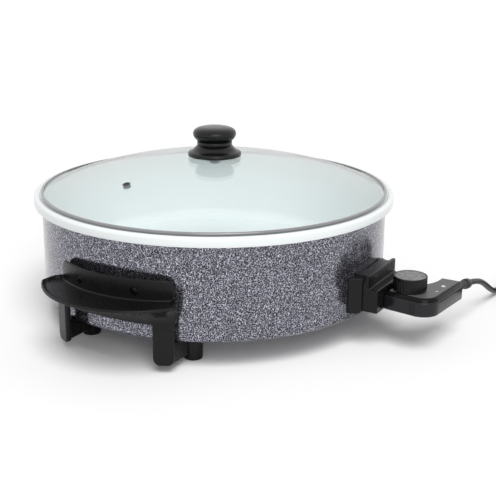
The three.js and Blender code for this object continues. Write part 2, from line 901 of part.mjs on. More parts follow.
function makeInletBracket() {
  const near = shellRadius - overrun;
  const wingPlan = shapeOf([
    ...inletWingPlan.map(([x, y]) => [x, -y]),
    ...[...inletWingPlan].reverse(),
  ]);
  const wings = prism(wingPlan, inletWingBottom, inletWingTop).intersect(radialPrism(
    roundedRect(-inletWingHalfWidth, inletWingBottom, inletWingHalfWidth, inletWingTop, inletWingCorner),
    near - 2 * overrun, inletReach));
  const hoodBackTop = inletTop - inletHoodBackDrop;
  const hoodPlate = block(
    inletHoodReach - inletHoodPlate, inletHoodReach, -inletHalfWidth, inletHalfWidth, inletBottom, inletTop);
  const hood = unite(hoodPlate, radialPrism(
    roundedRect(-inletHalfWidth, inletLedge - 2 * inletHoodBackCorner, inletHalfWidth, hoodBackTop, inletHoodBackCorner),
    near, inletHoodReach - inletHoodPlate / 2));
  const nose = block(near, inletReach, -inletHalfWidth, inletHalfWidth, inletBottom, inletLedge);
  const socket = block(
    socketFloorReach, inletReach + overrun, -socketHalfWidth, socketHalfWidth, socketBottom, socketTop);
  const grooves = [-1, 1].map((side) => {
    const inner = side * (inletHalfWidth - inletGrooveDepth);
    const outer = side * (inletHalfWidth + overrun);
    return block(
      inletWingPlan[1][0], inletGrooveFar, Math.min(inner, outer), Math.max(inner, outer),
      inletBottom - overrun, inletTop + overrun);
  });
  const pocketEdge = socketHalfWidth + inletWall;
  const hollows = [-1, 1].map((side) => {
    const inner = side * pocketEdge;
    const outer = side * (inletHalfWidth - inletWall);
    return block(
      near - overrun, inletReach - inletWall, Math.min(inner, outer), Math.max(inner, outer),
      inletBottom + inletWall, inletLedge - inletWall);
  });
  const hoodHollow = block(
    near - overrun, inletHoodReach - inletWall, -inletHoodHollowHalfWidth, inletHoodHollowHalfWidth,
    inletLedge, hoodBackTop - inletWall);
  const pinHoles = [-1, 1].map((side) =>
    bar(pinRadius + 2 * holeClearance, near, inletReach, side * terminalSpacing / 2, elementHeight, tinySides));
  const pocketHole = bar(pocketRadius + holeClearance, near, inletReach, 0, sensorHeight);
  const screwHoles = [-1, 1].map((side) => bar(
    screwRadius + gap, near - overrun, inletScrewReach + gap, side * inletScrewSpread, inletScrewHeight,
    tinySides));
  return cut(
    unite(wings, hood, nose), bodyTool(), socket, ...grooves, ...hollows, hoodHollow, ...pinHoles, pocketHole,
    ...screwHoles);
}

// Driven outward from inside the shell, so that no head shows
function makeInletScrew(side) {
  const y = side * inletScrewSpread;
  const inner = (shellRadius - shellWall) * Math.cos(Math.PI / roundSides);
  const seat = Math.sqrt(inner ** 2 - (inletScrewSpread + screwHeadRadius) ** 2) - gap;
  return unite(
    bar(screwRadius, seat - screwHeadHeight / 2, inletScrewReach, y, inletScrewHeight, tinySides),
    bar(screwHeadRadius, seat - screwHeadHeight, seat, y, inletScrewHeight));
}

// Lid

function domeHeight(radius, top) {
  const rise = lidCrown - glassHigh;
  const sphere = (glassShoulderRadius ** 2 + rise ** 2) / (2 * rise);
  return top - sphere + Math.sqrt(sphere ** 2 - radius ** 2);
}

const glassEdge = bandRadius - bandSheet - gap;

function makeLidGlass() {
  const shares = Array.from({ length: domeSteps }, (_, i) => (i + 1) / domeSteps);
  const above = shares.map((share) => share * glassShoulderRadius).reverse();
  const below = shares.map((share) => share * glassShoulderRadius);
  const dome = turned([
    [0, lidCrown],
    ...above.reverse().map((radius) => [radius, domeHeight(radius, lidCrown)]),
    [glassEdge, glassHigh],
    [glassEdge, glassLow],
    ...below.reverse().map((radius) => [radius, domeHeight(radius, lidCrown - glassThickness)]),
    [0, lidCrown - glassThickness],
  ]);
  const screwHole = post(knobScrewRadius + holeClearance, rimTop, lidCrown + overrun);
  const ventHole = post(ventRadius + gap, rimTop, lidCrown + overrun, ventReachX, ventReachY);
  return cut(dome, screwHole, ventHole);
}

function makeLidBand() {
  const bevel = bandSheet;
  const top = bandTop;
  return turned(closedLoop([
    [bandInnerRadius, bandLow],
    [bandRadius, bandLow],
    [bandRadius, top - bevel],
    [bandRadius - bevel, top],
    [bandInnerRadius, top],
    [bandInnerRadius, top - bandSheet],
    [bandRadius - bandSheet, top - bandSheet],
    [bandRadius - bandSheet, bandLow + bandSheet],
    [bandInnerRadius, bandLow + bandSheet],
  ]));
}

function makeVentEyelet() {
  const reach = Math.hypot(ventReachX, ventReachY);
  const top = domeHeight(reach - ventFlange, lidCrown) + ventGap;
  const under = domeHeight(reach + ventFlange, lidCrown - glassThickness) - ventGap;
  return turned(closedLoop([
    [ventBoreRadius, under - ventFlangeThickness],
    [ventFlange, under - ventFlangeThickness],
    [ventFlange, under],
    [ventRadius, under],
    [ventRadius, top],
    [ventFlange, top],
    [ventFlange - gap, top + ventFlangeThickness],
    [ventBoreRadius, top + ventFlangeThickness],
  ]), smallSides).translate([ventReachX, ventReachY, 0]);
}

const knobBottom = lidCrown + knobSeat;
const knobBaseTop = knobBottom + knobBeadHigh;

function makeKnobBase() {
  const bead = (knobBeadHigh - knobBeadLow) / 2;
  const bore = knobScrewRadius + gap;
  const sealRoom = knobSealRadius + gap;
  const recessTop = lidCrown + gap + knobSealThickness + gap;
  return turned(closedLoop([
    [sealRoom, knobBottom],
    [knobSkirtRadius - knobSkirtEdge / 2, knobBottom],
    [knobSkirtRadius, knobBottom + knobSkirtEdge / 2],
    [knobSkirtRadius, knobBottom + 2 * knobSkirtEdge],
    [mix(knobSkirtRadius, knobNeckRadius, 0.2), knobBottom + mix(0, knobBeadLow, 0.4)],
    [mix(knobSkirtRadius, knobNeckRadius, 0.6), knobBottom + mix(0, knobBeadLow, 0.62)],
    [mix(knobSkirtRadius, knobNeckRadius, 0.9), knobBottom + mix(0, knobBeadLow, 0.84)],
    [knobNeckRadius - knobSkirtEdge / 2, knobBottom + knobBeadLow],
    [knobBeadRadius, knobBottom + knobBeadLow + bead / 2],
    [knobBeadRadius, knobBottom + knobBeadHigh - bead / 2],
    [knobGrooveRadius, knobBaseTop],
    [bore, knobBaseTop],
    [bore, recessTop],
    [sealRoom, recessTop],
  ]), knobSides);
}

function makeKnobCap() {
  const low = knobBaseTop + gap;
  const widest = knobBottom + knobCapWidest;
  const crown = knobBottom + knobCapCrown;
  const bore = knobScrewRadius + gap;
  const boreTop = lidCrown - glassThickness + knobScrewLength;
  const crownShares = [[1, 0], [0.97, 0.32], [0.86, 0.62], [0.62, 0.86], [0.32, 0.97], [0, 1]];
  return turned([
    [0, boreTop],
    [bore, boreTop],
    [bore, low],
    [knobGrooveRadius, low],
    [mix(knobGrooveRadius, knobCapRadius, 0.75), mix(low, widest, 0.3)],
    ...crownShares.map(([out, up]) => [knobCapRadius * out, mix(widest, crown, up)]),
  ], knobSides);
}

function makeKnobSeal() {
  const low = lidCrown + gap;
  const bore = knobScrewRadius + gap;
  return turned(closedLoop([
    [bore, low], [knobSealRadius, low], [knobSealRadius, low + knobSealThickness], [bore, low + knobSealThickness],
  ]), smallSides);
}

const knobWasherTop = domeHeight(knobWasherRadius, lidCrown - glassThickness) - 2 * gap;

function makeKnobWasher() {
  const low = knobWasherTop - knobWasherThickness;
  const bore = knobScrewRadius + gap;
  return turned(closedLoop([
    [bore, low], [knobWasherRadius, low], [knobWasherRadius, knobWasherTop], [bore, knobWasherTop],
  ]), smallSides);
}

function makeKnobScrew() {
  const headTop = knobWasherTop - knobWasherThickness - gap;
  const head = headTop - knobScrewHeadHeight;
  return turned([
    [0, head],
    [knobScrewHeadRadius, head],
    [knobScrewHeadRadius, headTop],
    [knobScrewRadius, headTop],
    [knobScrewRadius, lidCrown - glassThickness + knobScrewLength - gap],
    [0, lidCrown - glassThickness + knobScrewLength - gap],
  ], smallSides);
}

// Probe, in a frame where X points outward and Y along the cord arm

const probeFace = inletReach + probeFaceGap;
const probeElbowReach = probeFace + probeElbowLength;
const probeArmOuter = probeElbowReach + probeElbowRound + probeArmSpread;
const probeArmMiddle = probeArmOuter - probeArmWidth / 2;
const dialCenterReach = probeFace + dialFrontGap + dialRadius;
const noseReach = socketFloorReach + noseFrontGap;
const noseBack = probeFace + noseSeat;
const rodEnd = noseBack + rodTail;

// The probe's plan, drawn in by an inset from its outer skin
function probeOutline(inset) {
  const outer = probeArmOuter - inset;
  const round = probeElbowRound - inset;
  const elbowY = -probeHalfWidth - probeFlare + probeElbowRound;
  const inner = probeArmOuter - probeArmWidth + inset;
  const end = probeArmEnd - inset;
  const endRound = Math.max(probeEndRound - inset, 1);
  const farSide = probeHalfWidth + probeFlare / 2 - inset;
  const face = probeFace + inset;
  const shape = new THREE.Shape();
  shape.moveTo(face, -probeHalfWidth + inset);
  shape.lineTo(probeElbowReach, -probeHalfWidth - probeFlare + inset);
  shape.absarc(probeElbowReach, elbowY, round, -Math.PI / 2, 0, false);
  shape.lineTo(outer, end - endRound);
  shape.absarc(outer - endRound, end - endRound, endRound, 0, Math.PI / 2, false);
  shape.lineTo(inner + endRound, end);
  shape.absarc(inner + endRound, end - endRound, endRound, Math.PI / 2, Math.PI, false);
  shape.bezierCurveTo(
    inner, mix(farSide, end, 0.45), mix(face, inner, 0.7), farSide, mix(face, inner, 0.35), farSide);
  shape.lineTo(face, probeHalfWidth - inset);
  return shape;
}

function planRing(shape, z) {
  return shape.getPoints(filletSteps + 1).map((point) => new THREE.Vector3(point.x, point.y, z));
}

const probeScrewPlaces = [
  { x: probeArmMiddle, y: probeElbowRound / 2 - probeHalfWidth },
  { x: probeArmMiddle, y: probeArmEnd - probeScrewInset },
];

function makeProbeHousing() {
  const shell = prism(probeOutline(0), probeBottom, probeSeam, filletSteps + 1);
  const room = prism(probeOutline(probeWall), probeBottom + probeWall, probeSeam + overrun, filletSteps + 1);
  const noseRoom = block(
    probeFace - overrun, probeFace + overrun, -noseHalfWidth - gap, noseHalfWidth + gap, noseBottom - gap,
    noseTop + gap);
  const screwHoles = probeScrewPlaces.map(({ x, y }) =>
    post(probeScrewRadius + gap, probeBottom - overrun, probeSeam, x, y, tinySides));
  const heads = probeScrewPlaces.map(({ x, y }) =>
    post(probeScrewHeadRadius + gap, probeBottom - overrun, probeBottom + probeWall / 2, x, y, tinySides));
  const noseCut = noseRoom.intersect(block(
    probeFace - overrun, probeFace + overrun, -probeHalfWidth + probeWall, probeHalfWidth - probeWall,
    noseBottom - gap, probeSeam + overrun));
  const bodyWithBosses = unite(cut(shell, room), ...probeScrewPlaces.map(({ x, y }) =>
    post(2 * probeScrewRadius, probeBottom + probeWall / 2, noseBottom - 2 * gap, x, y)));
  return cut(bodyWithBosses, noseCut, reliefTool(), ...screwHoles, ...heads);
}

function makeProbeCover() {
  const low = probeSeam + gap;
  const bevel = loft([
    planRing(probeOutline(0), probeTop - probeBevel),
    planRing(probeOutline(probeBevel), probeTop),
  ], flattenPlan);
  const skin = unite(prism(probeOutline(0), low, probeTop - probeBevel, filletSteps + 1), bevel);
  const room = prism(probeOutline(probeWall), low - overrun, probeTop - probeWall, filletSteps + 1);
  const bosses = probeScrewPlaces.map(({ x, y }) =>
    post(2 * probeScrewRadius, low, probeTop - probeWall / 2, x, y));
  const shaftHole = post(shaftRadius + holeClearance, low, probeTop + overrun, dialCenterReach, 0);
  const lampHole = post(lampRadius + gap, low, probeTop + overrun, probeArmMiddle, lampAlong);
  const screwHoles = probeScrewPlaces.map(({ x, y }) =>
    post(probeScrewRadius + gap, low - overrun, probeTop - probeWall, x, y, tinySides));
  return cut(unite(cut(skin, room), ...bosses), shaftHole, lampHole, ...screwHoles);
}

function makeProbeScrew({ x, y }) {
  const head = probeBottom + probeWall / 2 - gap;
  return unite(
    post(probeScrewRadius, head - probeWall / 4, probeTop - probeWall - gap, x, y, tinySides),
    post(probeScrewHeadRadius, probeBottom + gap / 3, head, x, y, tinySides));
}

function makeProbeNose() {
  const half = Math.min(noseHalfWidth, probeHalfWidth - probeWall - gap);
  const body = block(noseReach, noseBack, -half, half, noseBottom, noseTop);
  const sleeveBores = [-1, 1].map((side) => bar(
    pinRadius + 2 * gap + sleeveWall, noseReach - overrun, noseBack + overrun, side * terminalSpacing / 2,
    elementHeight));
  const rodBore = bar(rodRadius + gap, noseReach - overrun, noseBack + overrun, 0, sensorHeight);
  return cut(body, ...sleeveBores, rodBore);
}

function makeContactSleeve(side) {
  const y = side * terminalSpacing / 2;
  return cut(
    bar(pinRadius + gap + sleeveWall, noseReach + sleeveFrontInset, noseBack - sleeveBackInset, y, elementHeight),
    bar(pinRadius + gap, noseReach, noseBack, y, elementHeight, tinySides));
}

function makeSensorRod() {
  return bar(rodRadius, rodTip, rodEnd, 0, sensorHeight);
}

const reliefStart = new THREE.Vector3(probeArmMiddle, probeArmEnd, reliefExitHeight);

function alongRelief(solid) {
  const turn = new THREE.Quaternion().setFromUnitVectors(new THREE.Vector3(0, 0, 1), reliefDirection);
  const matrix = new THREE.Matrix4().compose(reliefStart, turn, new THREE.Vector3(1, 1, 1));
  return solid.transform(matrix.elements);
}

function reliefProfile(extra) {
  const anchorBack = -probeWall - reliefAnchorGap - reliefAnchorThickness;
  const root = gap;
  const profile = [
    [0, anchorBack - extra],
    [reliefAnchorRadius + extra, anchorBack - extra],
    [reliefAnchorRadius + extra, anchorBack + reliefAnchorThickness + extra],
    [reliefNeckRadius + extra, anchorBack + reliefAnchorThickness + extra],
    [reliefNeckRadius + extra, root],
  ];
  return profile;
}

function reliefTool() {
  const extra = gap + holeClearance;
  return alongRelief(turned([
    [0, -probeWall - overrun],
    [reliefNeckRadius + extra, -probeWall - overrun],
    [reliefNeckRadius + extra, overrun],
    [0, overrun],
  ], smallSides));
}

function makeStrainRelief() {
  const root = 5 * gap;
  const profile = reliefProfile(0);
  profile[profile.length - 1] = [reliefNeckRadius, root];
  profile.push([reliefRootRadius, root]);
  const ribPitch = (reliefRingStart - root) / reliefRibs;
  for (let i = 1; i < reliefRibs; i += 1) {
    const middle = root + i * ribPitch;
    const radius = mix(reliefRootRadius, reliefTipRadius, middle / reliefLength);
    profile.push(
      [radius, middle - ribPitch / 6],
      [radius - reliefRibDepth, middle - ribPitch / 12],
      [radius - reliefRibDepth, middle + ribPitch / 12],
      [radius, middle + ribPitch / 6]);
  }
  profile.push(
    [mix(reliefRootRadius, reliefTipRadius, 0.7), reliefRingStart],
    [reliefRingRadius, reliefRingStart + reliefRibDepth],
    [reliefRingRadius, reliefRingStart + reliefRingLength - reliefRibDepth],
    [reliefTipRadius, reliefLength - reliefRibDepth],
    [cordRadius, reliefLength],
    [0, reliefLength]);
  return alongRelief(turned(profile, smallSides));
}

function makeThermostatFrame() {
  const low = probeBottom + probeWall + gap;
  const near = noseBack + gap;
  const plate = block(
    near, near + frameLength, -frameWidth / 2, frameWidth / 2, low, low + frameThickness);
  const rodRoom = bar(
    rodRadius + gap, near - overrun, rodEnd + gap, 0, sensorHeight);
  const stop = block(
    rodEnd + 2 * gap, rodEnd + 2 * gap + frameThickness, -frameWidth / 4, frameWidth / 4, low, elementHeight - camRadius / 2);
  const shaftBore = post(shaftRadius + gap, low + frameThickness / 2, shaftFoot + overrun, dialCenterReach, 0);
  return cut(unite(plate, stop), rodRoom, shaftBore);
}

function makeBimetalBlade() {
  const low = probeBottom + probeWall + gap + frameThickness + gap;
  const y = frameWidth / 2 - bladeWidth;
  return block(
    noseBack + 2 * gap, noseBack + 2 * gap + bladeLength, y, y + bladeWidth - gap, low, low + bladeThickness);
}

function makeDialShaft() {
  const camLow = probeSeam - camThickness - gap;
  return turned([
    [0, shaftFoot],
    [shaftRadius, shaftFoot],
    [shaftRadius, camLow],
    [camRadius, camLow],
    [camRadius, camLow + camThickness],
    [shaftRadius, camLow + camThickness],
    [shaftRadius, probeTop + gap + shaftSocket],
    [0, probeTop + gap + shaftSocket],
  ], smallSides).translate([dialCenterReach, 0, 0]);
}

const dialBottom = probeTop + gap;
const dialTop = dialBottom + dialHeight;

function makeDialKnob() {
  const outline = [];
  for (let i = 0; i < 2 * dialFlutes; i += 1) {
    const angle = Math.PI * i / dialFlutes;
    const radius = dialRadius - (i % 2) * dialFluteDepth;
    outline.push([radius * Math.cos(angle), radius * Math.sin(angle)]);
  }
  const grip = prism(shapeOf(outline), dialBottom, dialTop - dialRim);
  const crown = turned([
    [0, dialTop - 2 * dialRim],
    [dialRadius - dialFluteDepth, dialTop - 2 * dialRim],
    [dialRadius, dialTop - dialRim],
    [dialRadius, dialTop - dialRim / 2],
    [dialRadius - dialRim / 2, dialTop],
    [0, dialTop],
  ], 2 * smallSides);
  const faceRoom = post(
    dialRadius - dialRim, dialTop - dialFaceThickness - gap, dialTop + overrun, 0, 0, 2 * smallSides);
  const bore = post(shaftRadius + gap, dialBottom - overrun, dialBottom + shaftSocket + gap);
  return cut(unite(grip, crown), faceRoom, bore).translate([dialCenterReach, 0, 0]);
}

function makeDialFace() {
  return post(
    dialRadius - dialRim - gap, dialTop - dialFaceThickness, dialTop - gap / 3, dialCenterReach, 0, 2 * smallSides);
}

function makeLampLens() {
  const low = probeTop - probeWall - 2 * gap;
  return turned([
    [0, low - probeWall],
    [lampRadius + 1, low - probeWall],
    [lampRadius + 1, low],
    [lampRadius, low],
    [lampRadius, probeTop + lampDome / 2],
    [lampRadius / 2, probeTop + lampDome],
    [0, probeTop + lampDome],
  ], smallSides).translate([probeArmMiddle, lampAlong, 0]);
}

// Cord, in the pan's frame: the probe frame turned so that its X points to -Y

function fromProbe(point) {
  return new THREE.Vector3(point.y, -point.x, point.z);
}

const reliefEnd = fromProbe(
  reliefStart.clone().addScaledVector(reliefDirection, reliefLength + gap));
const cordDirection = fromProbe(reliefDirection);

// Hand-placed points from the strain relief down to the table and along it to the coil
const cordRunPoints = [
  reliefEnd,
  reliefEnd.clone().addScaledVector(cordDirection, 2 * cordRadius),
  new THREE.Vector3(128, -286.6, 41.6),
  new THREE.Vector3(142, -287.6, 37.4),
  new THREE.Vector3(156, -288.4, 31.0),
  new THREE.Vector3(170, -289.0, 23.2),
  new THREE.Vector3(184, -289.5, 15.4),
  new THREE.Vector3(198, -289.8, 9.2),
  new THREE.Vector3(211, -290.0, 5.9),
  new THREE.Vector3(223, -290.0, 4.9),
];
const coilLeadIn = 2 * cordRadius;

class CoilPath extends THREE.Curve {
  constructor() {
    super();
    this.layerTurn = 2 * Math.PI * coilTurnsPerLayer;
    this.totalTurn = 2 * this.layerTurn + Math.PI;
  }

  place(turn) {
    const middle = this.totalTurn / 2;
    const fromMiddle = Math.abs(turn - middle);
    const inner = coilRadius - coilPitch * middle / (2 * Math.PI);
    const radius = inner + coilPitch * fromMiddle / (2 * Math.PI);
    const climb = THREE.MathUtils.clamp((turn - this.layerTurn) / Math.PI, 0, 1);
    const angle = Math.PI / 2 - turn;
    return new THREE.Vector3(
      coilCenterX + radius * Math.cos(angle),
      coilCenterY + radius * Math.sin(angle),
      coilBase + coilPitch * climb);
  }

  getPoint(share, target = new THREE.Vector3()) {
    const leadTurn = coilLeadIn / coilRadius;
    const turn = mix(-leadTurn, this.totalTurn + leadTurn, share);
    if (turn < 0) {
      const start = this.place(0);
      return target.set(start.x + turn * coilRadius, start.y, start.z);
    }
    if (turn > this.totalTurn) {
      const end = this.place(this.totalTurn);
      return target.set(end.x - (turn - this.totalTurn) * coilRadius, end.y, end.z);
    }
    return target.copy(this.place(turn));
  }
}

const coilPath = new CoilPath();
const coilSteps = Math.round(coilStepsPerTurn * coilPath.totalTurn / (2 * Math.PI)) + 2;

// The least gap between the coil's turns, measured between points over half a turn apart
function leastCoilGap() {
  const samples = 4 * coilSteps;
  const points = Array.from({ length: samples + 1 }, (_, i) => coilPath.getPoint(i / samples));
  const apart = Math.round(samples / (2 * coilTurnsPerLayer + 1) / 2);
  let least = Infinity;
  for (let i = 0; i < points.length; i += 1) {
    for (let j = i + apart; j < points.length; j += 1) {
      least = Math.min(least, points[i].distanceTo(points[j]));
    }
  }
  return least - 2 * cordRadius;
}

const coilStart = coilPath.getPoint(0);
const coilEnd = coilPath.getPoint(1);

function makeCordRun() {
  const curve = new THREE.CatmullRomCurve3(
    [...cordRunPoints, new THREE.Vector3(coilStart.x - gap, coilStart.y, coilStart.z)], false, "centripetal");
  return sweep(curve, cordRadius, cordSides, 22);
}

function makeCordCoil() {
  return sweep(coilPath, cordRadius, coilSides, coilSteps);
}

const plugNeckStart = new THREE.Vector3(coilEnd.x - 40, coilEnd.y - 2, plugRadius + gap);

function makeCordTail() {
  const curve = new THREE.CatmullRomCurve3([
    new THREE.Vector3(coilEnd.x - gap, coilEnd.y, coilEnd.z),
    new THREE.Vector3(coilEnd.x - 2 * cordRadius, coilEnd.y, coilEnd.z),
    new THREE.Vector3(coilEnd.x - 20, coilEnd.y - 1, mix(coilEnd.z, plugNeckStart.z, 0.5)),
    new THREE.Vector3(plugNeckStart.x + 2 * cordRadius, plugNeckStart.y, plugNeckStart.z),
    new THREE.Vector3(plugNeckStart.x + gap, plugNeckStart.y, plugNeckStart.z),
  ], false, "centripetal");
  return sweep(curve, cordRadius, cordSides, 10);
}

function makeCordTie() {
  const innermost = coilRadius - coilPitch * coilPath.totalTurn / (4 * Math.PI);
  const inside = innermost - cordRadius - gap;
  const outside = coilRadius + cordRadius + gap;
  const low = coilBase - cordRadius - gap;
  const high = coilBase + coilPitch + cordRadius + gap;
  const hole = roundedRect(inside, low, outside, high, 2);
  const outer = roundedRect(
    inside - tieThickness, low - tieThickness, outside + tieThickness, high + tieThickness, 2 + tieThickness);
  outer.holes.push(hole);
  const geometry = new THREE.ExtrudeGeometry(outer, { depth: tieWidth, bevelEnabled: false });
  geometry.translate(0, 0, -tieWidth / 2);
  geometry.rotateX(Math.PI / 2);
  geometry.rotateZ(tieAngle);
  geometry.translate(coilCenterX, coilCenterY, 0);
  return solidOf(geometry);
}

function alongPlug(solid) {
  return solid.rotate([0, -90, 0]).translate([plugNeckStart.x, plugNeckStart.y, plugNeckStart.z]);
}

const plugFace = plugNeckLength + plugBodyLength;

function plugPinTools(radius, from, to) {
  return [-1, 1].map((side) => post(radius, from, to, 0, side * plugPinSpacing / 2, tinySides));
}

function makePlugBody() {
  const shoulder = plugFace - plugFaceLength;
  const body = turned([
    [0, 0],
    [cordRadius + gap, 0],
    [plugNeckRadius, plugNeckLength],
    [mix(plugNeckRadius, plugRadius, 0.55), mix(plugNeckLength, shoulder, 0.35)],
    [mix(plugNeckRadius, plugRadius, 0.9), mix(plugNeckLength, shoulder, 0.75)],
    [plugRadius, shoulder],
    [plugRadius, plugFace],
    [0, plugFace],
  ], smallSides + smallSides / 2);
  return alongPlug(cut(body, ...plugPinTools(plugPinRadius + gap, plugFace - plugPinSocket, plugFace + overrun)));
}

function makePlugPin(side) {
  return alongPlug(post(
    plugPinRadius, plugFace - plugPinSocket + gap, plugFace + plugPinLength, 0, side * plugPinSpacing / 2, tinySides));
}

// Assembly

const skillet = new THREE.Group();
const panFrame = new THREE.Group();
const inletFrame = new THREE.Group();
inletFrame.rotation.z = -Math.PI / 2;
panFrame.add(inletFrame);
skillet.add(panFrame);

// The origin is the middle of the object's footprint, cord left out
const probeFarReach = probeArmOuter;
panFrame.position.y = (probeFarReach - rimRadius) / 2;

panFrame.add(
  meshOf("inner_pan", makeInnerPan(), ceramic),
  meshOf("outer_shell", makeOuterShell(), hammered),
  meshOf("base_plate", makeBasePlate(), steel),
  meshOf("heat_shield", makeHeatShield(), aluminium),
  meshOf("center_stud", makeCenterStud(), steel),
  meshOf("center_nut", makeCenterNut(), steel),
  meshOf("lid_glass", makeLidGlass(), glass),
  meshOf("lid_band", makeLidBand(), steel),
  meshOf("vent_eyelet", makeVentEyelet(), steel),
  meshOf("knob_base", makeKnobBase(), bakelite),
  meshOf("knob_cap", makeKnobCap(), bakelite),
  meshOf("knob_seal", makeKnobSeal(), silicone),
  meshOf("knob_washer", makeKnobWasher(), steel),
  meshOf("knob_screw", makeKnobScrew(), steel));

for (let i = 0; i < clipCount; i += 1) {
  const clip = meshOf(`element_clip_${i + 1}`, makeElementClip(), steel);
  clip.rotation.z = 2 * Math.PI * i / clipCount + Math.PI / 2;
  panFrame.add(clip);
}

for (const [name, turn] of [["right", 0], ["left", Math.PI]]) {
  const side = new THREE.Group();
  side.rotation.z = turn;
  side.add(meshOf(`handle_${name}`, makeHandle(), bakelite));
  handleScrewPlaces.forEach((place, i) =>
    side.add(meshOf(`handle_screw_${name}_${i + 1}`, makeHandleScrew(place), steel)));
  footPlaces.forEach((place, i) =>
    side.add(meshOf(`foot_screw_${name}_${i + 1}`, makeFootScrew(place), steel)));
  panFrame.add(side);
}

inletFrame.add(
  meshOf("heating_element", makeHeatingElement(), steel),
  meshOf("sensor_pocket", makeSensorPocket(), aluminium),
  meshOf("inlet_bracket", makeInletBracket(), bakelite),
  meshOf("probe_housing", makeProbeHousing(), bakelite),
  meshOf("probe_cover", makeProbeCover(), glossBlack),
  meshOf("probe_nose", makeProbeNose(), bakelite),
  meshOf("sensor_rod", makeSensorRod(), steel),
  meshOf("thermostat_frame", makeThermostatFrame(), porcelain),
  meshOf("bimetal_blade", makeBimetalBlade(), brass),
  meshOf("dial_shaft", makeDialShaft(), brass),
  meshOf("dial_knob", makeDialKnob(), bakelite),
  meshOf("dial_face", makeDialFace(), greyFace),
  meshOf("lamp_lens", makeLampLens(), lampClear),
  meshOf("strain_relief", makeStrainRelief(), cordBlack));

for (const [name, side] of [["near", -1], ["far", 1]]) {
  inletFrame.add(
    meshOf(`terminal_pin_${name}`, makeTerminalPin(side), brass),
    meshOf(`terminal_insulator_${name}`, makeTerminalInsulator(side), porcelain),
    meshOf(`inlet_screw_${name}`, makeInletScrew(side), steel),
    meshOf(`contact_sleeve_${name}`, makeContactSleeve(side), brass));
}
probeScrewPlaces.forEach((place, i) =>
  inletFrame.add(meshOf(`probe_screw_${i + 1}`, makeProbeScrew(place), steel)));

panFrame.add(
  meshOf("cord_run", makeCordRun(), cordBlack),
  meshOf("cord_coil", makeCordCoil(), cordBlack),
  meshOf("cord_tail", makeCordTail(), cordBlack),
  meshOf("cord_tie", makeCordTie(), cordBlack),
  meshOf("plug_body", makePlugBody(), cordBlack),
  meshOf("plug_pin_1", makePlugPin(-1), brass),
  meshOf("plug_pin_2", makePlugPin(1), brass));

console.log(`least gap between the cord's turns: ${leastCoilGap().toFixed(2)} mm`);

export default skillet;
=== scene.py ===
# Looks for the electric skillet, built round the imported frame. Local sizes are in millimetres.
import json
import math

import bmesh
import bpy
from mathutils import Matrix, Vector


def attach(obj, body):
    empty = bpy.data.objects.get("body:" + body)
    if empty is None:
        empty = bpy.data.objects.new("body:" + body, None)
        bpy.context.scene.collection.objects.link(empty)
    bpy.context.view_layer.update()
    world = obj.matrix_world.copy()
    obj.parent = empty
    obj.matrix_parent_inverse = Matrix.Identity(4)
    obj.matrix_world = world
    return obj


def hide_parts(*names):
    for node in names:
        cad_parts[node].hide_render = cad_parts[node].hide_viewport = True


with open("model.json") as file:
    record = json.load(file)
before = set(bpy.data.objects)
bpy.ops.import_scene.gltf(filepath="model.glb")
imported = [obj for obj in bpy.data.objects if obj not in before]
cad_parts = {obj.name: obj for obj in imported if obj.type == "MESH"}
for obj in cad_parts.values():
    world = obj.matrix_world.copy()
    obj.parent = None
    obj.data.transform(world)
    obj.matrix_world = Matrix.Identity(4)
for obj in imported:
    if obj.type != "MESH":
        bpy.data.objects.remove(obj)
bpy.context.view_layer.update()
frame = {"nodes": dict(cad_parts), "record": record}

MM = 0.001
SHIFT_Y = 41.0
RIM_TOP = 146
TURNS = {"pan": 0.0, "right": 0.0, "left": math.pi, "inlet": -math.pi / 2}


def row(frame_name="pan"):
    """Matrix from a local frame in millimetres to the row frame in metres."""
    turn = Matrix.Rotation(TURNS[frame_name], 4, "Z")
    return Matrix.Scale(MM, 4) @ Matrix.Translation((0, SHIFT_Y, 0)) @ turn


def mix(a, b, share):
    return a + (b - a) * share


# Camera, fitted to the rim, the body and the feet in the photograph

FOCAL_PX = 1004.02
PHOTO_PX = 496
SENSOR_MM = 36
CLIP_START = 0.01
CAMERA_DISTANCE = 1166.27
CAMERA_HEIGHT = 289.31 + RIM_TOP
PITCH = math.radians(17.354)
YAW = math.radians(1.974)
ROLL = math.radians(0.398)
VIEW_TURN = math.radians(-58)


def make_camera():
    forward = Vector((
        math.sin(YAW) * math.cos(PITCH), math.cos(YAW) * math.cos(PITCH), -math.sin(PITCH)))
    right = Vector((math.cos(YAW), -math.sin(YAW), 0))
    up = right.cross(forward)
    side = right * math.cos(ROLL) + up * math.sin(ROLL)
    top = up * math.cos(ROLL) - right * math.sin(ROLL)
    turn = Matrix.Rotation(VIEW_TURN, 4, "Z")
    place = Matrix.Identity(4)
    for i, axis in enumerate((side, top, -forward)):
        for j in range(3):
            place[j][i] = axis[j]
    place = turn @ place
    spot = turn @ Vector((0, -CAMERA_DISTANCE, CAMERA_HEIGHT))
    place.translation = (spot + Vector((0, SHIFT_Y, 0))) * MM
    data = bpy.data.cameras.new("photo_camera")
    data.sensor_width = SENSOR_MM
    data.lens = SENSOR_MM * FOCAL_PX / PHOTO_PX
    data.clip_start = CLIP_START
    camera = bpy.data.objects.new("photo_camera", data)
    camera.matrix_world = place
    bpy.context.scene.collection.objects.link(camera)
    bpy.context.scene.camera = camera


make_camera()

# Mesh helpers

ON_AXIS = 1e-6
CORNER_STEPS = 6
ROD_SEGMENTS = 24
SOFTENING = 0.5
CRISP_OVER = 32
OUTWARD = Matrix(((0, 0, 1, 0), (1, 0, 0, 0), (0, 1, 0, 0), (0, 0, 0, 1)))
DOWNWARD = Matrix.Rotation(math.pi, 4, "X")


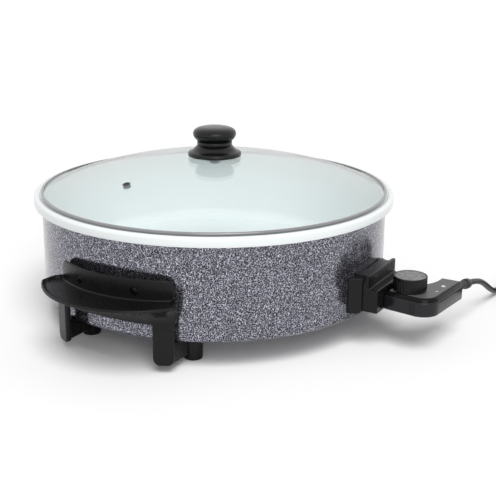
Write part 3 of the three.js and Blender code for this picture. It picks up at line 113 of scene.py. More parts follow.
def ring_solid(rings, ends="points"):
    """A solid through rings, in which a ring may be one point; its ends are points, caps or joined."""
    bm = bmesh.new()
    made = [[bm.verts.new(p) for p in ring] for ring in rings]
    pairs = list(zip(made, made[1:]))
    if ends == "joined":
        pairs.append((made[-1], made[0]))
    for low, high in pairs:
        count = max(len(low), len(high))
        for i in range(count):
            j = (i + 1) % count
            corners = [low[i % len(low)], low[j % len(low)], high[j % len(high)], high[i % len(high)]]
            corners = list(dict.fromkeys(corners))
            if len(corners) > 2:
                bm.faces.new(corners)
    if ends == "caps":
        bm.faces.new(made[0])
        bm.faces.new(made[-1])
    bmesh.ops.recalc_face_normals(bm, faces=bm.faces)
    return bm


def lathe(profile, segments, center=(0.0, 0.0)):
    """A turned solid from (radius, height) points: ends on the axis, or closes on itself."""
    rings = []
    for radius, height in profile:
        if radius < ON_AXIS:
            rings.append([(center[0], center[1], height)])
            continue
        angles = [2 * math.pi * i / segments for i in range(segments)]
        rings.append([
            (center[0] + radius * math.cos(a), center[1] + radius * math.sin(a), height) for a in angles])
    open_ends = len(rings[0]) > 1 and len(rings[-1]) > 1
    return ring_solid(rings, "joined" if open_ends else "points")


def post(radius, low, high, segments=32, center=(0.0, 0.0)):
    """An upright round bar, mostly used as a drill."""
    return lathe([(0, low), (radius, low), (radius, high), (0, high)], segments, center)


def rod(radius, near, far, y, z):
    """A round bar along the local X axis."""
    bm = post(radius, near, far, ROD_SEGMENTS)
    bm.transform(Matrix.Translation((0, y, z)) @ OUTWARD)
    return bm


def prism(outline, low, high):
    return ring_solid([[(x, y, z) for x, y in outline] for z in (low, high)], "caps")


def arc(x, y, radius, start, end, steps):
    points = []
    for i in range(steps + 1):
        angle = math.radians(mix(start, end, i / steps))
        points.append((x + radius * math.cos(angle), y + radius * math.sin(angle)))
    return points


def rounded_rect(left, low, right, high, radius):
    return (arc(right - radius, low + radius, radius, -90, 0, CORNER_STEPS)
            + arc(right - radius, high - radius, radius, 0, 90, CORNER_STEPS)
            + arc(left + radius, high - radius, radius, 90, 180, CORNER_STEPS)
            + arc(left + radius, low + radius, radius, 180, 270, CORNER_STEPS))


def lifted(profile, base):
    """The profile with its heights counted from the base."""
    return [(radius, base + height) for radius, height in profile]


def along(start, direction):
    """Matrix that lays the local Z axis along the direction from the start."""
    turn = Vector((0, 0, 1)).rotation_difference(direction).to_matrix().to_4x4()
    return Matrix.Translation(start) @ turn


def joined(*parts):
    """One bmesh that holds all the parts."""
    whole = bmesh.new()
    for part in parts:
        mesh = bpy.data.meshes.new("part")
        part.to_mesh(mesh)
        part.free()
        whole.from_mesh(mesh)
        bpy.data.meshes.remove(mesh)
    return whole


def as_object(bm, name):
    mesh = bpy.data.meshes.new(name)
    bm.to_mesh(mesh)
    bm.free()
    obj = bpy.data.objects.new(name, mesh)
    bpy.context.scene.collection.objects.link(obj)
    return obj


def bake(obj):
    """Applies the object's modifiers to its mesh."""
    graph = bpy.context.evaluated_depsgraph_get()
    mesh = bpy.data.meshes.new_from_object(obj.evaluated_get(graph))
    obj.modifiers.clear()
    old = obj.data
    obj.data = mesh
    mesh.name = obj.name
    bpy.data.meshes.remove(old)


def remove(obj):
    mesh = obj.data
    bpy.data.objects.remove(obj)
    bpy.data.meshes.remove(mesh)


def carve(obj, tools):
    """Cuts the closed tools out of the object."""
    for tool in tools:
        cutter = as_object(tool, "cutter")
        change = obj.modifiers.new("cut", "BOOLEAN")
        change.operation = "DIFFERENCE"
        change.solver = "EXACT"
        change.object = cutter
        bake(obj)
        remove(cutter)


def mould(obj, voxel, smoothing, keep):
    """Melts overlapping closed shells into one moulding with softened edges."""
    change = obj.modifiers.new("melt", "REMESH")
    change.mode = "VOXEL"
    change.voxel_size = voxel
    bake(obj)
    change = obj.modifiers.new("soften", "SMOOTH")
    change.factor = SOFTENING
    change.iterations = smoothing
    change = obj.modifiers.new("thin", "DECIMATE")
    change.ratio = keep
    bake(obj)


def shade(obj, angle):
    """Smooth shading that keeps edges sharper than the angle crisp."""
    bm = bmesh.new()
    bm.from_mesh(obj.data)
    limit = math.radians(angle)
    for face in bm.faces:
        face.smooth = True
    for edge in bm.edges:
        edge.smooth = len(edge.link_faces) == 2 and edge.calc_face_angle(0.0) < limit
    bm.to_mesh(obj.data)
    bm.free()


def settle(obj, body, material, replaces=(), frame_name="pan", angle=CRISP_OVER, matrix=None):
    """Puts a finished local piece into the row frame, names what it rides on and hides the CAD parts it
    stands for.
    """
    obj.data.transform(row(frame_name) if matrix is None else matrix)
    shade(obj, angle)
    obj.data.materials.clear()
    obj.data.materials.append(material)
    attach(obj, body)
    if replaces:
        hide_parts(*replaces)


def copy_of(obj, name):
    mesh = obj.data.copy()
    mesh.name = name
    twin = bpy.data.objects.new(name, mesh)
    bpy.context.scene.collection.objects.link(twin)
    return twin


# Materials: texture scales are per metre, and low and high are the ends of the roughness


class Finish:
    """A Principled material with small helpers for its procedural detail."""

    def __init__(self, name, color, roughness, metallic=0.0, **sockets):
        self.material = bpy.data.materials.new(name)
        self.material.use_nodes = True
        self.tree = self.material.node_tree
        self.shader = self.tree.nodes["Principled BSDF"]
        self.shader.inputs["Base Color"].default_value = (*color, 1)
        self.shader.inputs["Roughness"].default_value = roughness
        self.shader.inputs["Metallic"].default_value = metallic
        for key, value in sockets.items():
            self.shader.inputs[key.replace("_", " ")].default_value = value
        self.coords = self.tree.nodes.new("ShaderNodeTexCoord").outputs["Object"]

    def link(self, output, target):
        self.tree.links.new(output, target)

    def stretched(self, scale):
        node = self.tree.nodes.new("ShaderNodeMapping")
        node.inputs["Scale"].default_value = scale
        self.link(self.coords, node.inputs["Vector"])
        return node.outputs["Vector"]

    def noise(self, scale, detail, roughness=0.5, coords=None):
        node = self.tree.nodes.new("ShaderNodeTexNoise")
        node.inputs["Scale"].default_value = scale
        node.inputs["Detail"].default_value = detail
        node.inputs["Roughness"].default_value = roughness
        self.link(coords or self.coords, node.inputs["Vector"])
        return node.outputs["Fac"]

    def cells(self, scale):
        node = self.tree.nodes.new("ShaderNodeTexVoronoi")
        node.inputs["Scale"].default_value = scale
        self.link(self.coords, node.inputs["Vector"])
        return node.outputs["Distance"]

    def ramp(self, value, stops):
        node = self.tree.nodes.new("ShaderNodeValToRGB")
        ramp = node.color_ramp
        while len(ramp.elements) < len(stops):
            ramp.elements.new(0.5)
        for element, (place, color) in zip(ramp.elements, stops):
            element.position = place
            element.color = (*color, 1)
        self.link(value, node.inputs["Fac"])
        return node.outputs["Color"]

    def span(self, value, low, high, start=0.0, end=1.0):
        node = self.tree.nodes.new("ShaderNodeMapRange")
        for key, number in (("From Min", start), ("From Max", end), ("To Min", low), ("To Max", high)):
            node.inputs[key].default_value = number
        self.link(value, node.inputs["Value"])
        return node.outputs["Result"]

    def math(self, kind, a, b):
        node = self.tree.nodes.new("ShaderNodeMath")
        node.operation = kind
        for socket, value in zip(node.inputs, (a, b)):
            if isinstance(value, (int, float)):
                socket.default_value = value
            else:
                self.link(value, socket)
        return node.outputs[0]

    def set(self, socket, value):
        self.link(value, self.shader.inputs[socket])

    def set_roughness(self, value, low, high):
        """Roughness from low to high over the middle of a noise."""
        self.set("Roughness", self.span(value, low, high, 0.3, 0.7))

    def set_tones(self, value, first, second, end=0.7):
        self.set("Base Color", self.ramp(value, [(0.3, first), (end, second)]))

    def bump(self, height, strength, distance):
        node = self.tree.nodes.new("ShaderNodeBump")
        node.inputs["Strength"].default_value = strength
        node.inputs["Distance"].default_value = distance
        self.link(height, node.inputs["Height"])
        self.link(node.outputs["Normal"], self.shader.inputs["Normal"])


GRAIN_SCALE, GRAIN_SHARE = 1000, 0.75
FLECK_SCALE, FLECK_SHARE = 680, 0.3
HAMMER_TONES = [
    (0.42, (0.010, 0.010, 0.012)), (0.51, (0.075, 0.075, 0.092)), (0.60, (0.32, 0.32, 0.38)),
    (0.68, (0.66, 0.66, 0.74))]


def hammered_finish():
    """Dark and silver hammered paint: a noise and small cells, read as four tones and a low relief."""
    made = Finish("hammered_paint", (0.2, 0.2, 0.235), 0.2, 0.85, Coat_Weight=0.06, Coat_Roughness=0.12)
    grain = made.noise(GRAIN_SCALE, 3.0, 0.6)
    fleck = made.cells(FLECK_SCALE)
    both = made.math(
        "ADD", made.math("MULTIPLY", grain, GRAIN_SHARE), made.math("MULTIPLY", fleck, FLECK_SHARE))
    made.set("Base Color", made.ramp(both, HAMMER_TONES))
    made.set_roughness(grain, 0.12, 0.22)
    made.bump(both, 0.08, 0.0002)
    return made.material


def ceramic_finish():
    made = Finish("pale_ceramic", (0.88, 0.92, 0.92), 0.2, 0.0, Coat_Weight=0.4, Coat_Roughness=0.08)
    made.set_tones(made.noise(9, 2), (0.87, 0.915, 0.915), (0.89, 0.93, 0.93))
    made.set("Roughness", made.span(made.noise(60, 3), 0.16, 0.26))
    made.bump(made.noise(900, 2), 0.04, 0.0002)
    return made.material


def bakelite_finish(name, color=(0.0045, 0.0045, 0.005), low=0.22, high=0.32, gloss=0.22):
    made = Finish(name, color, 0.36, 0.0, Specular_IOR_Level=gloss)
    made.set_roughness(made.noise(220, 4), low, high)
    lighter = tuple(1.3 * c + 0.0005 for c in color)
    made.set_tones(made.noise(35, 3), color, lighter, 0.75)
    made.bump(made.noise(2600, 2), 0.05, 0.00005)
    return made.material


def metal_finish(name, color, low, high, grain=(1, 1, 30), scale=120):
    made = Finish(name, color, low, 1.0)
    brushed = made.noise(scale, 3, 0.6, made.stretched(grain))
    made.set_roughness(brushed, low, high)
    made.set_tones(brushed, tuple(0.82 * c for c in color), color)
    made.bump(brushed, 0.06, 0.0001)
    return made.material


def plain_finish(name, color, low, high, scale=300, bump=0.1, **sockets):
    made = Finish(name, color, low, 0.0, **sockets)
    grain = made.noise(scale, 3)
    made.set_roughness(grain, low, high)
    made.set_tones(grain, tuple(0.88 * c for c in color), color)
    made.bump(grain, bump, 0.0001)
    return made.material


VEIL_ALPHA = 0.13
CLEAR_TINT = (0.975, 0.997, 0.995, 1)
CLEAR_SHARE = 0.5
MIRROR_POWER = 5.0
MIRROR_LEAST, MIRROR_MOST = 0.04, 0.9


def glass_finish():
    """Clear glass: a faint veil, a tinted see-through part, and a mirror that grows at flat angles."""
    made = Finish("clear_glass", (0.80, 0.95, 0.94), 0.02, 0.0, Alpha=VEIL_ALPHA, IOR=1.5)
    made.set("Roughness", made.span(made.noise(14, 2), 0.015, 0.035))
    tree = made.tree
    clear = tree.nodes.new("ShaderNodeBsdfTransparent")
    clear.inputs["Color"].default_value = CLEAR_TINT
    gloss = tree.nodes.new("ShaderNodeBsdfGlossy")
    gloss.inputs["Roughness"].default_value = 0.02
    weight = tree.nodes.new("ShaderNodeLayerWeight")
    weight.inputs["Blend"].default_value = 0.5
    steep = made.math("POWER", weight.outputs["Facing"], MIRROR_POWER)
    share = made.span(steep, MIRROR_LEAST, MIRROR_MOST)
    body = tree.nodes.new("ShaderNodeMixShader")
    body.inputs["Fac"].default_value = CLEAR_SHARE
    made.link(made.shader.outputs[0], body.inputs[1])
    made.link(clear.outputs[0], body.inputs[2])
    surface = tree.nodes.new("ShaderNodeMixShader")
    made.link(share, surface.inputs["Fac"])
    made.link(body.outputs[0], surface.inputs[1])
    made.link(gloss.outputs[0], surface.inputs[2])
    made.link(surface.outputs[0], tree.nodes["Material Output"].inputs["Surface"])
    return made.material


HAMMERED = hammered_finish()
CERAMIC = ceramic_finish()
BAKELITE = bakelite_finish("moulded_bakelite")
KNOB_BLACK = bakelite_finish("knob_bakelite", (0.004, 0.004, 0.0045), 0.18, 0.26, 0.32)
PROBE_CASE = bakelite_finish("probe_case_black", (0.010, 0.010, 0.012), 0.16, 0.24, 0.3)
PROBE_GLOSS = bakelite_finish("probe_gloss", (0.003, 0.003, 0.0035), 0.07, 0.13, 0.16)
# The cover's flat top: matt, and a lighter grey than the black moulding as painted light from above
PROBE_TOP_PAINTED_LIGHT = plain_finish("probe_top_painted_light", (0.105, 0.105, 0.108), 0.42, 0.55, 1200, 0.2)
DIAL_GREY = plain_finish("dial_face_grey", (0.205, 0.205, 0.21), 0.35, 0.45, 900, 0.05)
MARK_DARK = plain_finish("dial_marks", (0.02, 0.02, 0.022), 0.4, 0.5)
MARK_WHITE = plain_finish("pointer_white", (0.8, 0.8, 0.8), 0.4, 0.5)
STEEL = metal_finish("satin_steel", (0.60, 0.61, 0.62), 0.24, 0.42)
DARK_STEEL = metal_finish("black_oxide_steel", (0.03, 0.03, 0.032), 0.34, 0.48)
BAND_STEEL = metal_finish("bright_band", (0.34, 0.34, 0.35), 0.1, 0.18, (1, 1, 60), 60)
ALUMINIUM = metal_finish("mill_aluminium", (0.72, 0.73, 0.74), 0.3, 0.5)
EYELET_STEEL = metal_finish("eyelet_steel", (0.14, 0.14, 0.145), 0.14, 0.24)
PLATE_STEEL = metal_finish("plated_sheet", (0.55, 0.56, 0.57), 0.25, 0.4)
BRASS = metal_finish("brass", (0.72, 0.55, 0.26), 0.2, 0.35)
PORCELAIN = plain_finish("porcelain", (0.78, 0.75, 0.67), 0.3, 0.5)
SILICONE = plain_finish("silicone", (0.7, 0.7, 0.68), 0.5, 0.65)
LENS = plain_finish("lamp_lens", (0.75, 0.74, 0.72), 0.1, 0.2, 300, 0.02, Coat_Weight=0.5)
CORD = plain_finish("cord_rubber", (0.018, 0.018, 0.02), 0.38, 0.52, 1500, 0.15)
GLASS = glass_finish()

SLOT_FINISH = {
    "pan_ceramic": CERAMIC, "hammered": HAMMERED, "plate_steel": PLATE_STEEL,
    "shield_aluminium": ALUMINIUM, "steel": STEEL, "band_steel": BAND_STEEL, "lid_glass": GLASS,
    "bakelite": BAKELITE, "probe_gloss": PROBE_GLOSS, "dial_grey": DIAL_GREY, "silicone": SILICONE,
    "brass": BRASS, "porcelain": PORCELAIN, "lamp_clear": LENS, "cord_black": CORD,
}
for part in frame["record"]["subparts"]:
    node = frame["nodes"][part["node"]]
    node.data.materials.clear()
    node.data.materials.append(SLOT_FINISH[part["material_slot"]])

# Cord, settled before the rest; its points and its coil are those of the CAD

CORD_D = 7.0
CORD_GAP = 0.3
CORD_DROP = [
    (128, -286.6, 41.6), (142, -287.6, 37.4), (156, -288.4, 31.0), (170, -289.0, 23.2),
    (184, -289.5, 15.4), (198, -289.8, 9.2), (211, -290.0, 5.9), (223, -290.0, 4.9)]
COIL_CENTER = (240.0, -337.5)
COIL_RADIUS = 47.5
COIL_PITCH = 7.6
COIL_BASE = 4.9
COIL_LAYER = 2 * math.pi * 2.5
COIL_TOTAL = 2 * COIL_LAYER + math.pi
COIL_STEPS = 88
PLUG_REACH_X, PLUG_REACH_Y = 40, 2
PLUG_HEIGHT = 18.3
RELIEF_START = Vector((280, 59, 52.5))
RELIEF_DIRECTION = Vector((0.1, 0.985, -0.14)).normalized()
RELIEF_LENGTH = 50


def from_probe(point):
    return Vector((point.y, -point.x, point.z))


CORD_EXIT = from_probe(RELIEF_START + RELIEF_DIRECTION * (RELIEF_LENGTH + CORD_GAP))
CORD_HEADING = from_probe(RELIEF_DIRECTION)


def coil_point(turn):
    """A point of two flat layers, the first wound inward and the second outward on top of it."""
    inner = COIL_RADIUS - COIL_PITCH * COIL_TOTAL / 2 / (2 * math.pi)
    radius = inner + COIL_PITCH * abs(turn - COIL_TOTAL / 2) / (2 * math.pi)
    climb = min(max((turn - COIL_LAYER) / math.pi, 0), 1)
    angle = math.pi / 2 - turn
    return Vector((
        COIL_CENTER[0] + radius * math.cos(angle), COIL_CENTER[1] + radius * math.sin(angle),
        COIL_BASE + COIL_PITCH * climb))


def cord_route():
    """The cord's points from the strain relief to the plug, and the place where the plug starts."""
    points = [CORD_EXIT, CORD_EXIT + CORD_HEADING * CORD_D]
    points += [Vector(p) for p in CORD_DROP]
    points.append(coil_point(0) - Vector((CORD_D, 0, 0)))
    points += [coil_point(COIL_TOTAL * i / COIL_STEPS) for i in range(COIL_STEPS + 1)]
    end = coil_point(COIL_TOTAL)
    neck = Vector((end.x - PLUG_REACH_X, end.y - PLUG_REACH_Y, PLUG_HEIGHT))
    points += [
        end - Vector((CORD_D, 0, 0)),
        Vector((end.x - PLUG_REACH_X / 2, end.y - PLUG_REACH_Y / 2, mix(end.z, neck.z, 0.5))),
        neck + Vector((CORD_D, 0, 0)), neck + Vector((CORD_GAP, 0, 0))]
    return points, neck


def make_cord(points):
    curve = bpy.data.curves.new("power_cord", "CURVE")
    curve.dimensions = "3D"
    curve.bevel_depth = CORD_D / 2 * MM
    curve.bevel_resolution = 4
    curve.resolution_u = 5
    curve.use_fill_caps = True
    spline = curve.splines.new("BEZIER")
    spline.bezier_points.add(len(points) - 1)
    for knot, point in zip(spline.bezier_points, points):
        knot.co = row() @ point
        knot.handle_left_type = knot.handle_right_type = "AUTO"
    obj = bpy.data.objects.new("power_cord", curve)
    bpy.context.scene.collection.objects.link(obj)
    curve.materials.append(CORD)
    return obj


route, PLUG_START = cord_route()
cord = make_cord(route)
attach(cord, "probe")
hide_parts("cord_run", "cord_coil", "cord_tail")

# Pan, shell, base: (radius, height) profiles

WIDE_ROUND = 256
PAN_CORNER = (176, 72)
SHELL_CORNER = (199, 34.5)
SHELL_TOP = 142.7

pan_profile = (
    [(0, 58)] + arc(*PAN_CORNER, 14, -90, 0, 12) + arc(199.6, 144.4, 1.6, 180, 90, 6)
    + [(204.6, 146.05), (205.4, 146.6)] + arc(208.2, 143.6, 3.8, 115, 0, 12)
    + arc(211, 137.5, 1, 0, -90, 4) + [(209.4, 136.5), (209.0, 137.0), (209.0, 143.0)]
    + [(201.2, 143.0), (199.6, 141.4)] + arc(*PAN_CORNER, 15.6, 0, -90, 12) + [(0, 56.4)])
pan = as_object(lathe(pan_profile, WIDE_ROUND), "pan_bowl")
settle(pan, "base", CERAMIC, ["inner_pan"])

shell_profile = (
    [(203, SHELL_TOP)] + arc(*SHELL_CORNER, 4, 0, -90, 10)
    + [(186, 30.6), (180, 32), (152, 32), (150, 32.3), (150, 33.2), (181, 33.2), (187, 31.9)]
    + arc(*SHELL_CORNER, 2.8, -90, 0, 10) + [(201.8, SHELL_TOP)])
shell = as_object(lathe(shell_profile, WIDE_ROUND), "hammered_shell")
settle(shell, "base", HAMMERED, ["outer_shell"])

plate_profile = [
    (3.4, 33.5), (24, 33.5), (26, 34.0), (30, 34.0), (32, 33.5), (96, 33.5), (98.5, 34.1), (104, 34.1),
    (106.5, 33.5), (157, 33.5), (157, 34.7), (105.8, 34.7), (103.8, 35.3), (98.7, 35.3), (96.7, 34.7),
    (8, 34.7), (8, 41.1), (3.4, 41.1)]
plate = as_object(lathe(plate_profile, 160), "bottom_plate")
settle(plate, "base", PLATE_STEEL, ["base_plate"])

# Lid

GLASS_TOP = 185.5
GLASS_THICK = 2.9
GLASS_SHOULDER = 195.5
GLASS_EDGE = 202.0
GLASS_LOW = 147.3
GLASS_STEPS = 40
DOME_RISE = GLASS_TOP - GLASS_LOW - GLASS_THICK
DOME_RADIUS = (GLASS_SHOULDER ** 2 + DOME_RISE ** 2) / (2 * DOME_RISE)
KNOB_BORE = 3.3
VENT = (-122.0, 38.7)
VENT_BORE = 4.2


def dome(radius, top):
    return top - DOME_RADIUS + math.sqrt(DOME_RADIUS ** 2 - radius ** 2)


# The eyelet's frame is tilted with the glass, which lies between -GLASS_THICK and zero in it
VENT_REACH = math.hypot(*VENT)
VENT_FRAME = (
    Matrix.Translation((*VENT, dome(VENT_REACH, GLASS_TOP)))
    @ Matrix.Rotation(math.atan2(VENT[1], VENT[0]), 4, "Z")
    @ Matrix.Rotation(math.asin(VENT_REACH / DOME_RADIUS), 4, "Y"))

glass_reach = [GLASS_SHOULDER * i / GLASS_STEPS for i in range(GLASS_STEPS + 1)]
over = [(reach, dome(reach, GLASS_TOP)) for reach in glass_reach]
under = [(reach, height - GLASS_THICK) for reach, height in reversed(over)]
edge = arc(GLASS_EDGE, GLASS_LOW + 1.0, 0.9, 90, 0, 4) + arc(GLASS_EDGE, GLASS_LOW + 0.9, 0.9, 0, -90, 4)
lid = as_object(lathe(over + edge + under, WIDE_ROUND), "lid_dome")
vent_hole = post(VENT_BORE, -20, 20)
vent_hole.transform(VENT_FRAME)
carve(lid, [post(KNOB_BORE, 150, 200), vent_hole])
settle(lid, "lid", GLASS, ["lid_glass"])

band_profile = (
    [(200.4, 146.35), (203.0, 146.35)] + arc(202.9, 147.3, 0.95, -90, 0, 5)
    + arc(202.9, 148.95, 0.95, 0, 90, 6) + [(201.4, 149.95)] + arc(200.9, 149.65, 0.35, 90, 180, 4)
    + [(200.6, 149.5), (203.1, 149.35), (203.1, 147.05), (200.4, 147.05)])
band = as_object(lathe(band_profile, WIDE_ROUND), "lid_rim_band")
settle(band, "lid", BAND_STEEL, ["lid_band"])

EYELET_PLAY = 0.05
EYELET_LOW = -GLASS_THICK - 0.75
EYELET_COLLAR = EYELET_PLAY - GLASS_THICK
eyelet_profile = (
    [(2.5, EYELET_LOW), (4.3, EYELET_LOW), (4.6, EYELET_LOW + 0.3), (4.6, EYELET_COLLAR),
     (4.0, EYELET_COLLAR), (4.0, EYELET_PLAY), (4.7, EYELET_PLAY)]
    + arc(4.1, 0.2, 0.6, 0, 90, 5) + [(3.1, 0.8), (2.5, 0.4)])
eyelet_mesh = lathe(eyelet_profile, 48)
eyelet_mesh.transform(VENT_FRAME)
eyelet = as_object(eyelet_mesh, "steam_eyelet")
settle(eyelet, "lid", EYELET_STEEL, ["vent_eyelet"])

KNOB_LOW = GLASS_TOP + 0.5
KNOB_ROUND = 96
knob_base_profile = lifted(
    [(9.3, 0), (30.7, 0)] + arc(30.7, 0.8, 0.8, -90, 0, 4)
    + [(31.5, 3.3), (31.1, 4.2), (30.1, 4.9), (28.4, 5.6), (26.4, 6.6), (24.5, 8.1), (22.9, 9.9),
       (21.5, 11.4), (20.4, 12.2), (19.9, 12.5)]
    + arc(19.2, 14.1, 1.5, -80, 0, 5) + arc(19.2, 16.3, 1.5, 0, 80, 5)
    + [(18.4, 18.0), (18.4, 20.2), (18.1, 20.5), (3.3, 20.5), (3.3, 1.3), (9.3, 1.3)], KNOB_LOW)
knob_base = as_object(lathe(knob_base_profile, KNOB_ROUND), "knob_collar")
settle(knob_base, "lid", KNOB_BLACK, ["knob_base"])

knob_cap_profile = lifted(
    [(0, 26.6), (3.2, 26.6), (3.2, 20.8), (18.7, 20.8), (18.7, 18.2), (20.0, 18.2), (21.2, 18.8),
     (22.7, 20.0), (23.9, 21.5), (24.8, 23.2), (25.35, 24.9), (25.5, 26.4), (25.2, 28.0), (24.3, 29.7),
     (22.7, 31.2), (20.3, 32.5), (16.6, 33.5), (11.8, 34.1), (6.0, 34.4), (0, 34.5)], KNOB_LOW)
knob_cap = as_object(lathe(knob_cap_profile, KNOB_ROUND), "knob_top")
settle(knob_cap, "lid", KNOB_BLACK, ["knob_cap"])

# Handles: each is a grip tray with its apron, a heat guard, two legs and two feet

TRAY_TOP = 80.0
TRAY_FLOOR = TRAY_TOP - 2.8
TRAY_HALF = 83.5
TRAY_RADIUS = 101
TRAY_CENTER = 161
TRAY_ROUND = 12
LIP_UNDER = TRAY_TOP - 2.6
GUARD_CENTER = 88
GUARD_INNER, GUARD_OUTER = 127.4, 130
GUARD_HALF = 62
GUARD_ROUND = 11
GUARD_LOW = 71.5
GUARD_SHOULDER = 89.6
LEG_TURN = math.radians(28)
LEG_X, LEG_Y = 204.5, 65.3
LEG_THICK, LEG_WIDE = 6.5, 23.0
LEG_LOW, LEG_TOP = 8.5, 76.0
LEG_TOE, TOE_STEPS = 8.0, 12
FOOT_X, FOOT_Y = 155, 69
FOOT_RADIUS = 8.5
FOOT_TOP = 31.7
BRACE_HALF = 4.5
SCREW_Y, SCREW_Z = 35, 87
BOSS_RADIUS = 5.5
SCREW_BORE, HEAD_BORE = 2.4, 4.4
APRON_MIDDLE = 219
APRON_RADIUS = 278
APRON_LOW, APRON_END_LIFT = 54, 16
DRILL_FROM, DRILL_TO = 150, 262

# The apron's curve as shares of the way from its foot to the lip, outward and upward
APRON = [
    (0.9, 0.95), (0.76, 0.89), (0.6, 0.81), (0.44, 0.71), (0.3, 0.59), (0.18, 0.45), (0.08, 0.28),
    (0.02, 0.12)]
# The tray's end in plan, from behind the guard to the lip, for one side
TRAY_END = [(176, 62), (189, 69.5), (194.5, 73.0), (197.0, 76.6), (200.2, 80.2), (204.5, 82.4), (209, 83.5)]
# The raised lip: distance from the tray's edge, and height over its floor
LIP_RISE = [(0, 1.8), (0.5, 2.5), (1.4, 2.8), (2.6, 2.7), (3.8, 2.1), (5.0, 0.9), (6.4, 0.2), (7.6, 0)]


def tray_lip(y):
    off = abs(y)
    fillet_y = TRAY_HALF - TRAY_ROUND
    inner_radius = TRAY_RADIUS - TRAY_ROUND
    fillet_x = TRAY_CENTER + math.sqrt(inner_radius ** 2 - fillet_y ** 2)
    if off <= fillet_y * TRAY_RADIUS / inner_radius:
        return TRAY_CENTER + math.sqrt(TRAY_RADIUS ** 2 - off ** 2)
    return fillet_x + math.sqrt(max(TRAY_ROUND ** 2 - (off - fillet_y) ** 2, 0))


def guard_reach(radius, y):
    return GUARD_CENTER + math.sqrt(radius ** 2 - y ** 2)


def apron_reach(y):
    on_arc = APRON_MIDDLE - APRON_RADIUS + math.sqrt(APRON_RADIUS ** 2 - y ** 2)
    outer_x = LEG_X + LEG_THICK / 2 * math.cos(LEG_TURN)
    outer_y = LEG_Y + LEG_THICK / 2 * math.sin(LEG_TURN)
    return min(on_arc, outer_x - (abs(y) - outer_y) * math.tan(LEG_TURN))


def apron_low(y):
    edge_y = LEG_Y + LEG_WIDE / 2 * math.cos(LEG_TURN)
    share = min(max((abs(y) - edge_y) / (TRAY_HALF - edge_y), 0), 1)
    return APRON_LOW + APRON_END_LIFT * share


def end_gap(x, y):
    """Distance from a point of the tray to its rounded end."""
    spot = Vector((x, abs(y)))
    gaps = []
    for a, b in zip(TRAY_END[3:], TRAY_END[4:]):
        start, side = Vector(a), Vector(b) - Vector(a)
        share = min(max((spot - start).dot(side) / side.length_squared, 0), 1)
        gaps.append((spot - start - side * share).length)
    return min(gaps)


def end_rise(x, y):
    """Height of the raised lip over the tray's floor beside its rounded end."""
    gap = end_gap(x, y)
    lift = 1 + 0.45 * min(max((TRAY_END[-1][0] - x) / 12, 0), 1)
    for (near, high), (far, low) in zip(LIP_RISE, LIP_RISE[1:]):
        if gap < far:
            return lift * mix(high, low, (gap - near) / (far - near))
    return 0


def tray_section(y, hollow):
    """Outline of tray and apron at one y: open underneath where hollow, and solid at the ends."""
    inner, lip = guard_reach(GUARD_INNER, y), tray_lip(y)
    foot, low = apron_reach(y), apron_low(y)
    floor_start, floor_end = inner + 3.5, lip - LIP_RISE[6][0]
    points = [(inner, TRAY_TOP - 1.4), (inner + 1.4, TRAY_FLOOR + 0.6), (floor_start, TRAY_FLOOR)]
    points += [(mix(floor_start, floor_end, i / 16), TRAY_FLOOR) for i in range(1, 16)]
    points += [(lip - gap, TRAY_FLOOR + rise) for gap, rise in reversed(LIP_RISE[:7])]
    points = [(x, max(z, TRAY_FLOOR + end_rise(x, y))) for x, z in points]
    points.append((lip, LIP_UNDER))
    points += [(mix(foot, lip, a), mix(low, LIP_UNDER, b)) for a, b in APRON]
    points.append((foot, low))
    if hollow:
        points.append((foot - 3, low))
        points += [(mix(foot, lip, a) - 3, mix(low, LIP_UNDER, b)) for a, b in reversed(APRON[4:])]
        points += [(mix(foot, lip, 0.46), TRAY_FLOOR - 3), (inner, TRAY_FLOOR - 3)]
    else:
        points.append((inner, low))
    return [(x, y, z) for x, z in points]


def spread(half, count):
    return [mix(-half, half, i / count) for i in range(count + 1)]


def guard_section(y):
    off = max(abs(y) - GUARD_HALF, 0)
    top = GUARD_SHOULDER + math.sqrt(max(GUARD_ROUND ** 2 - off ** 2, 0))
    a, b = guard_reach(GUARD_INNER, y), guard_reach(GUARD_OUTER, y)
    middle = (a + b) / 2
    return [(a, y, GUARD_LOW), (b, y, GUARD_LOW), (b, y, top - 1.0), (mix(middle, b, 0.6), y, top - 0.25),
            (middle, y, top), (mix(middle, a, 0.6), y, top - 0.25), (a, y, top - 1.0)]


def leg_column():
    """A leg with soft edges and a rounded toe, standing on the local origin."""
    rings = []
    rises = [LEG_TOE * (1 - math.cos(math.pi / 2 * i / TOE_STEPS)) for i in range(TOE_STEPS + 1)]
    for z in [LEG_LOW + rise for rise in rises] + [LEG_TOP]:
        sunk = max(LEG_TOE - (z - LEG_LOW), 0)
        half = LEG_WIDE / 2 - LEG_TOE + math.sqrt(LEG_TOE ** 2 - sunk ** 2)
        thick = LEG_THICK / 2 * min(1.0, (z - LEG_LOW) / 2 + 0.55)
        corner = min(2.6, half * 0.98, thick * 0.9)
        rings.append([(x, y, z) for x, y in rounded_rect(-thick, -half, thick, half, corner)])
    return ring_solid(rings, "caps")


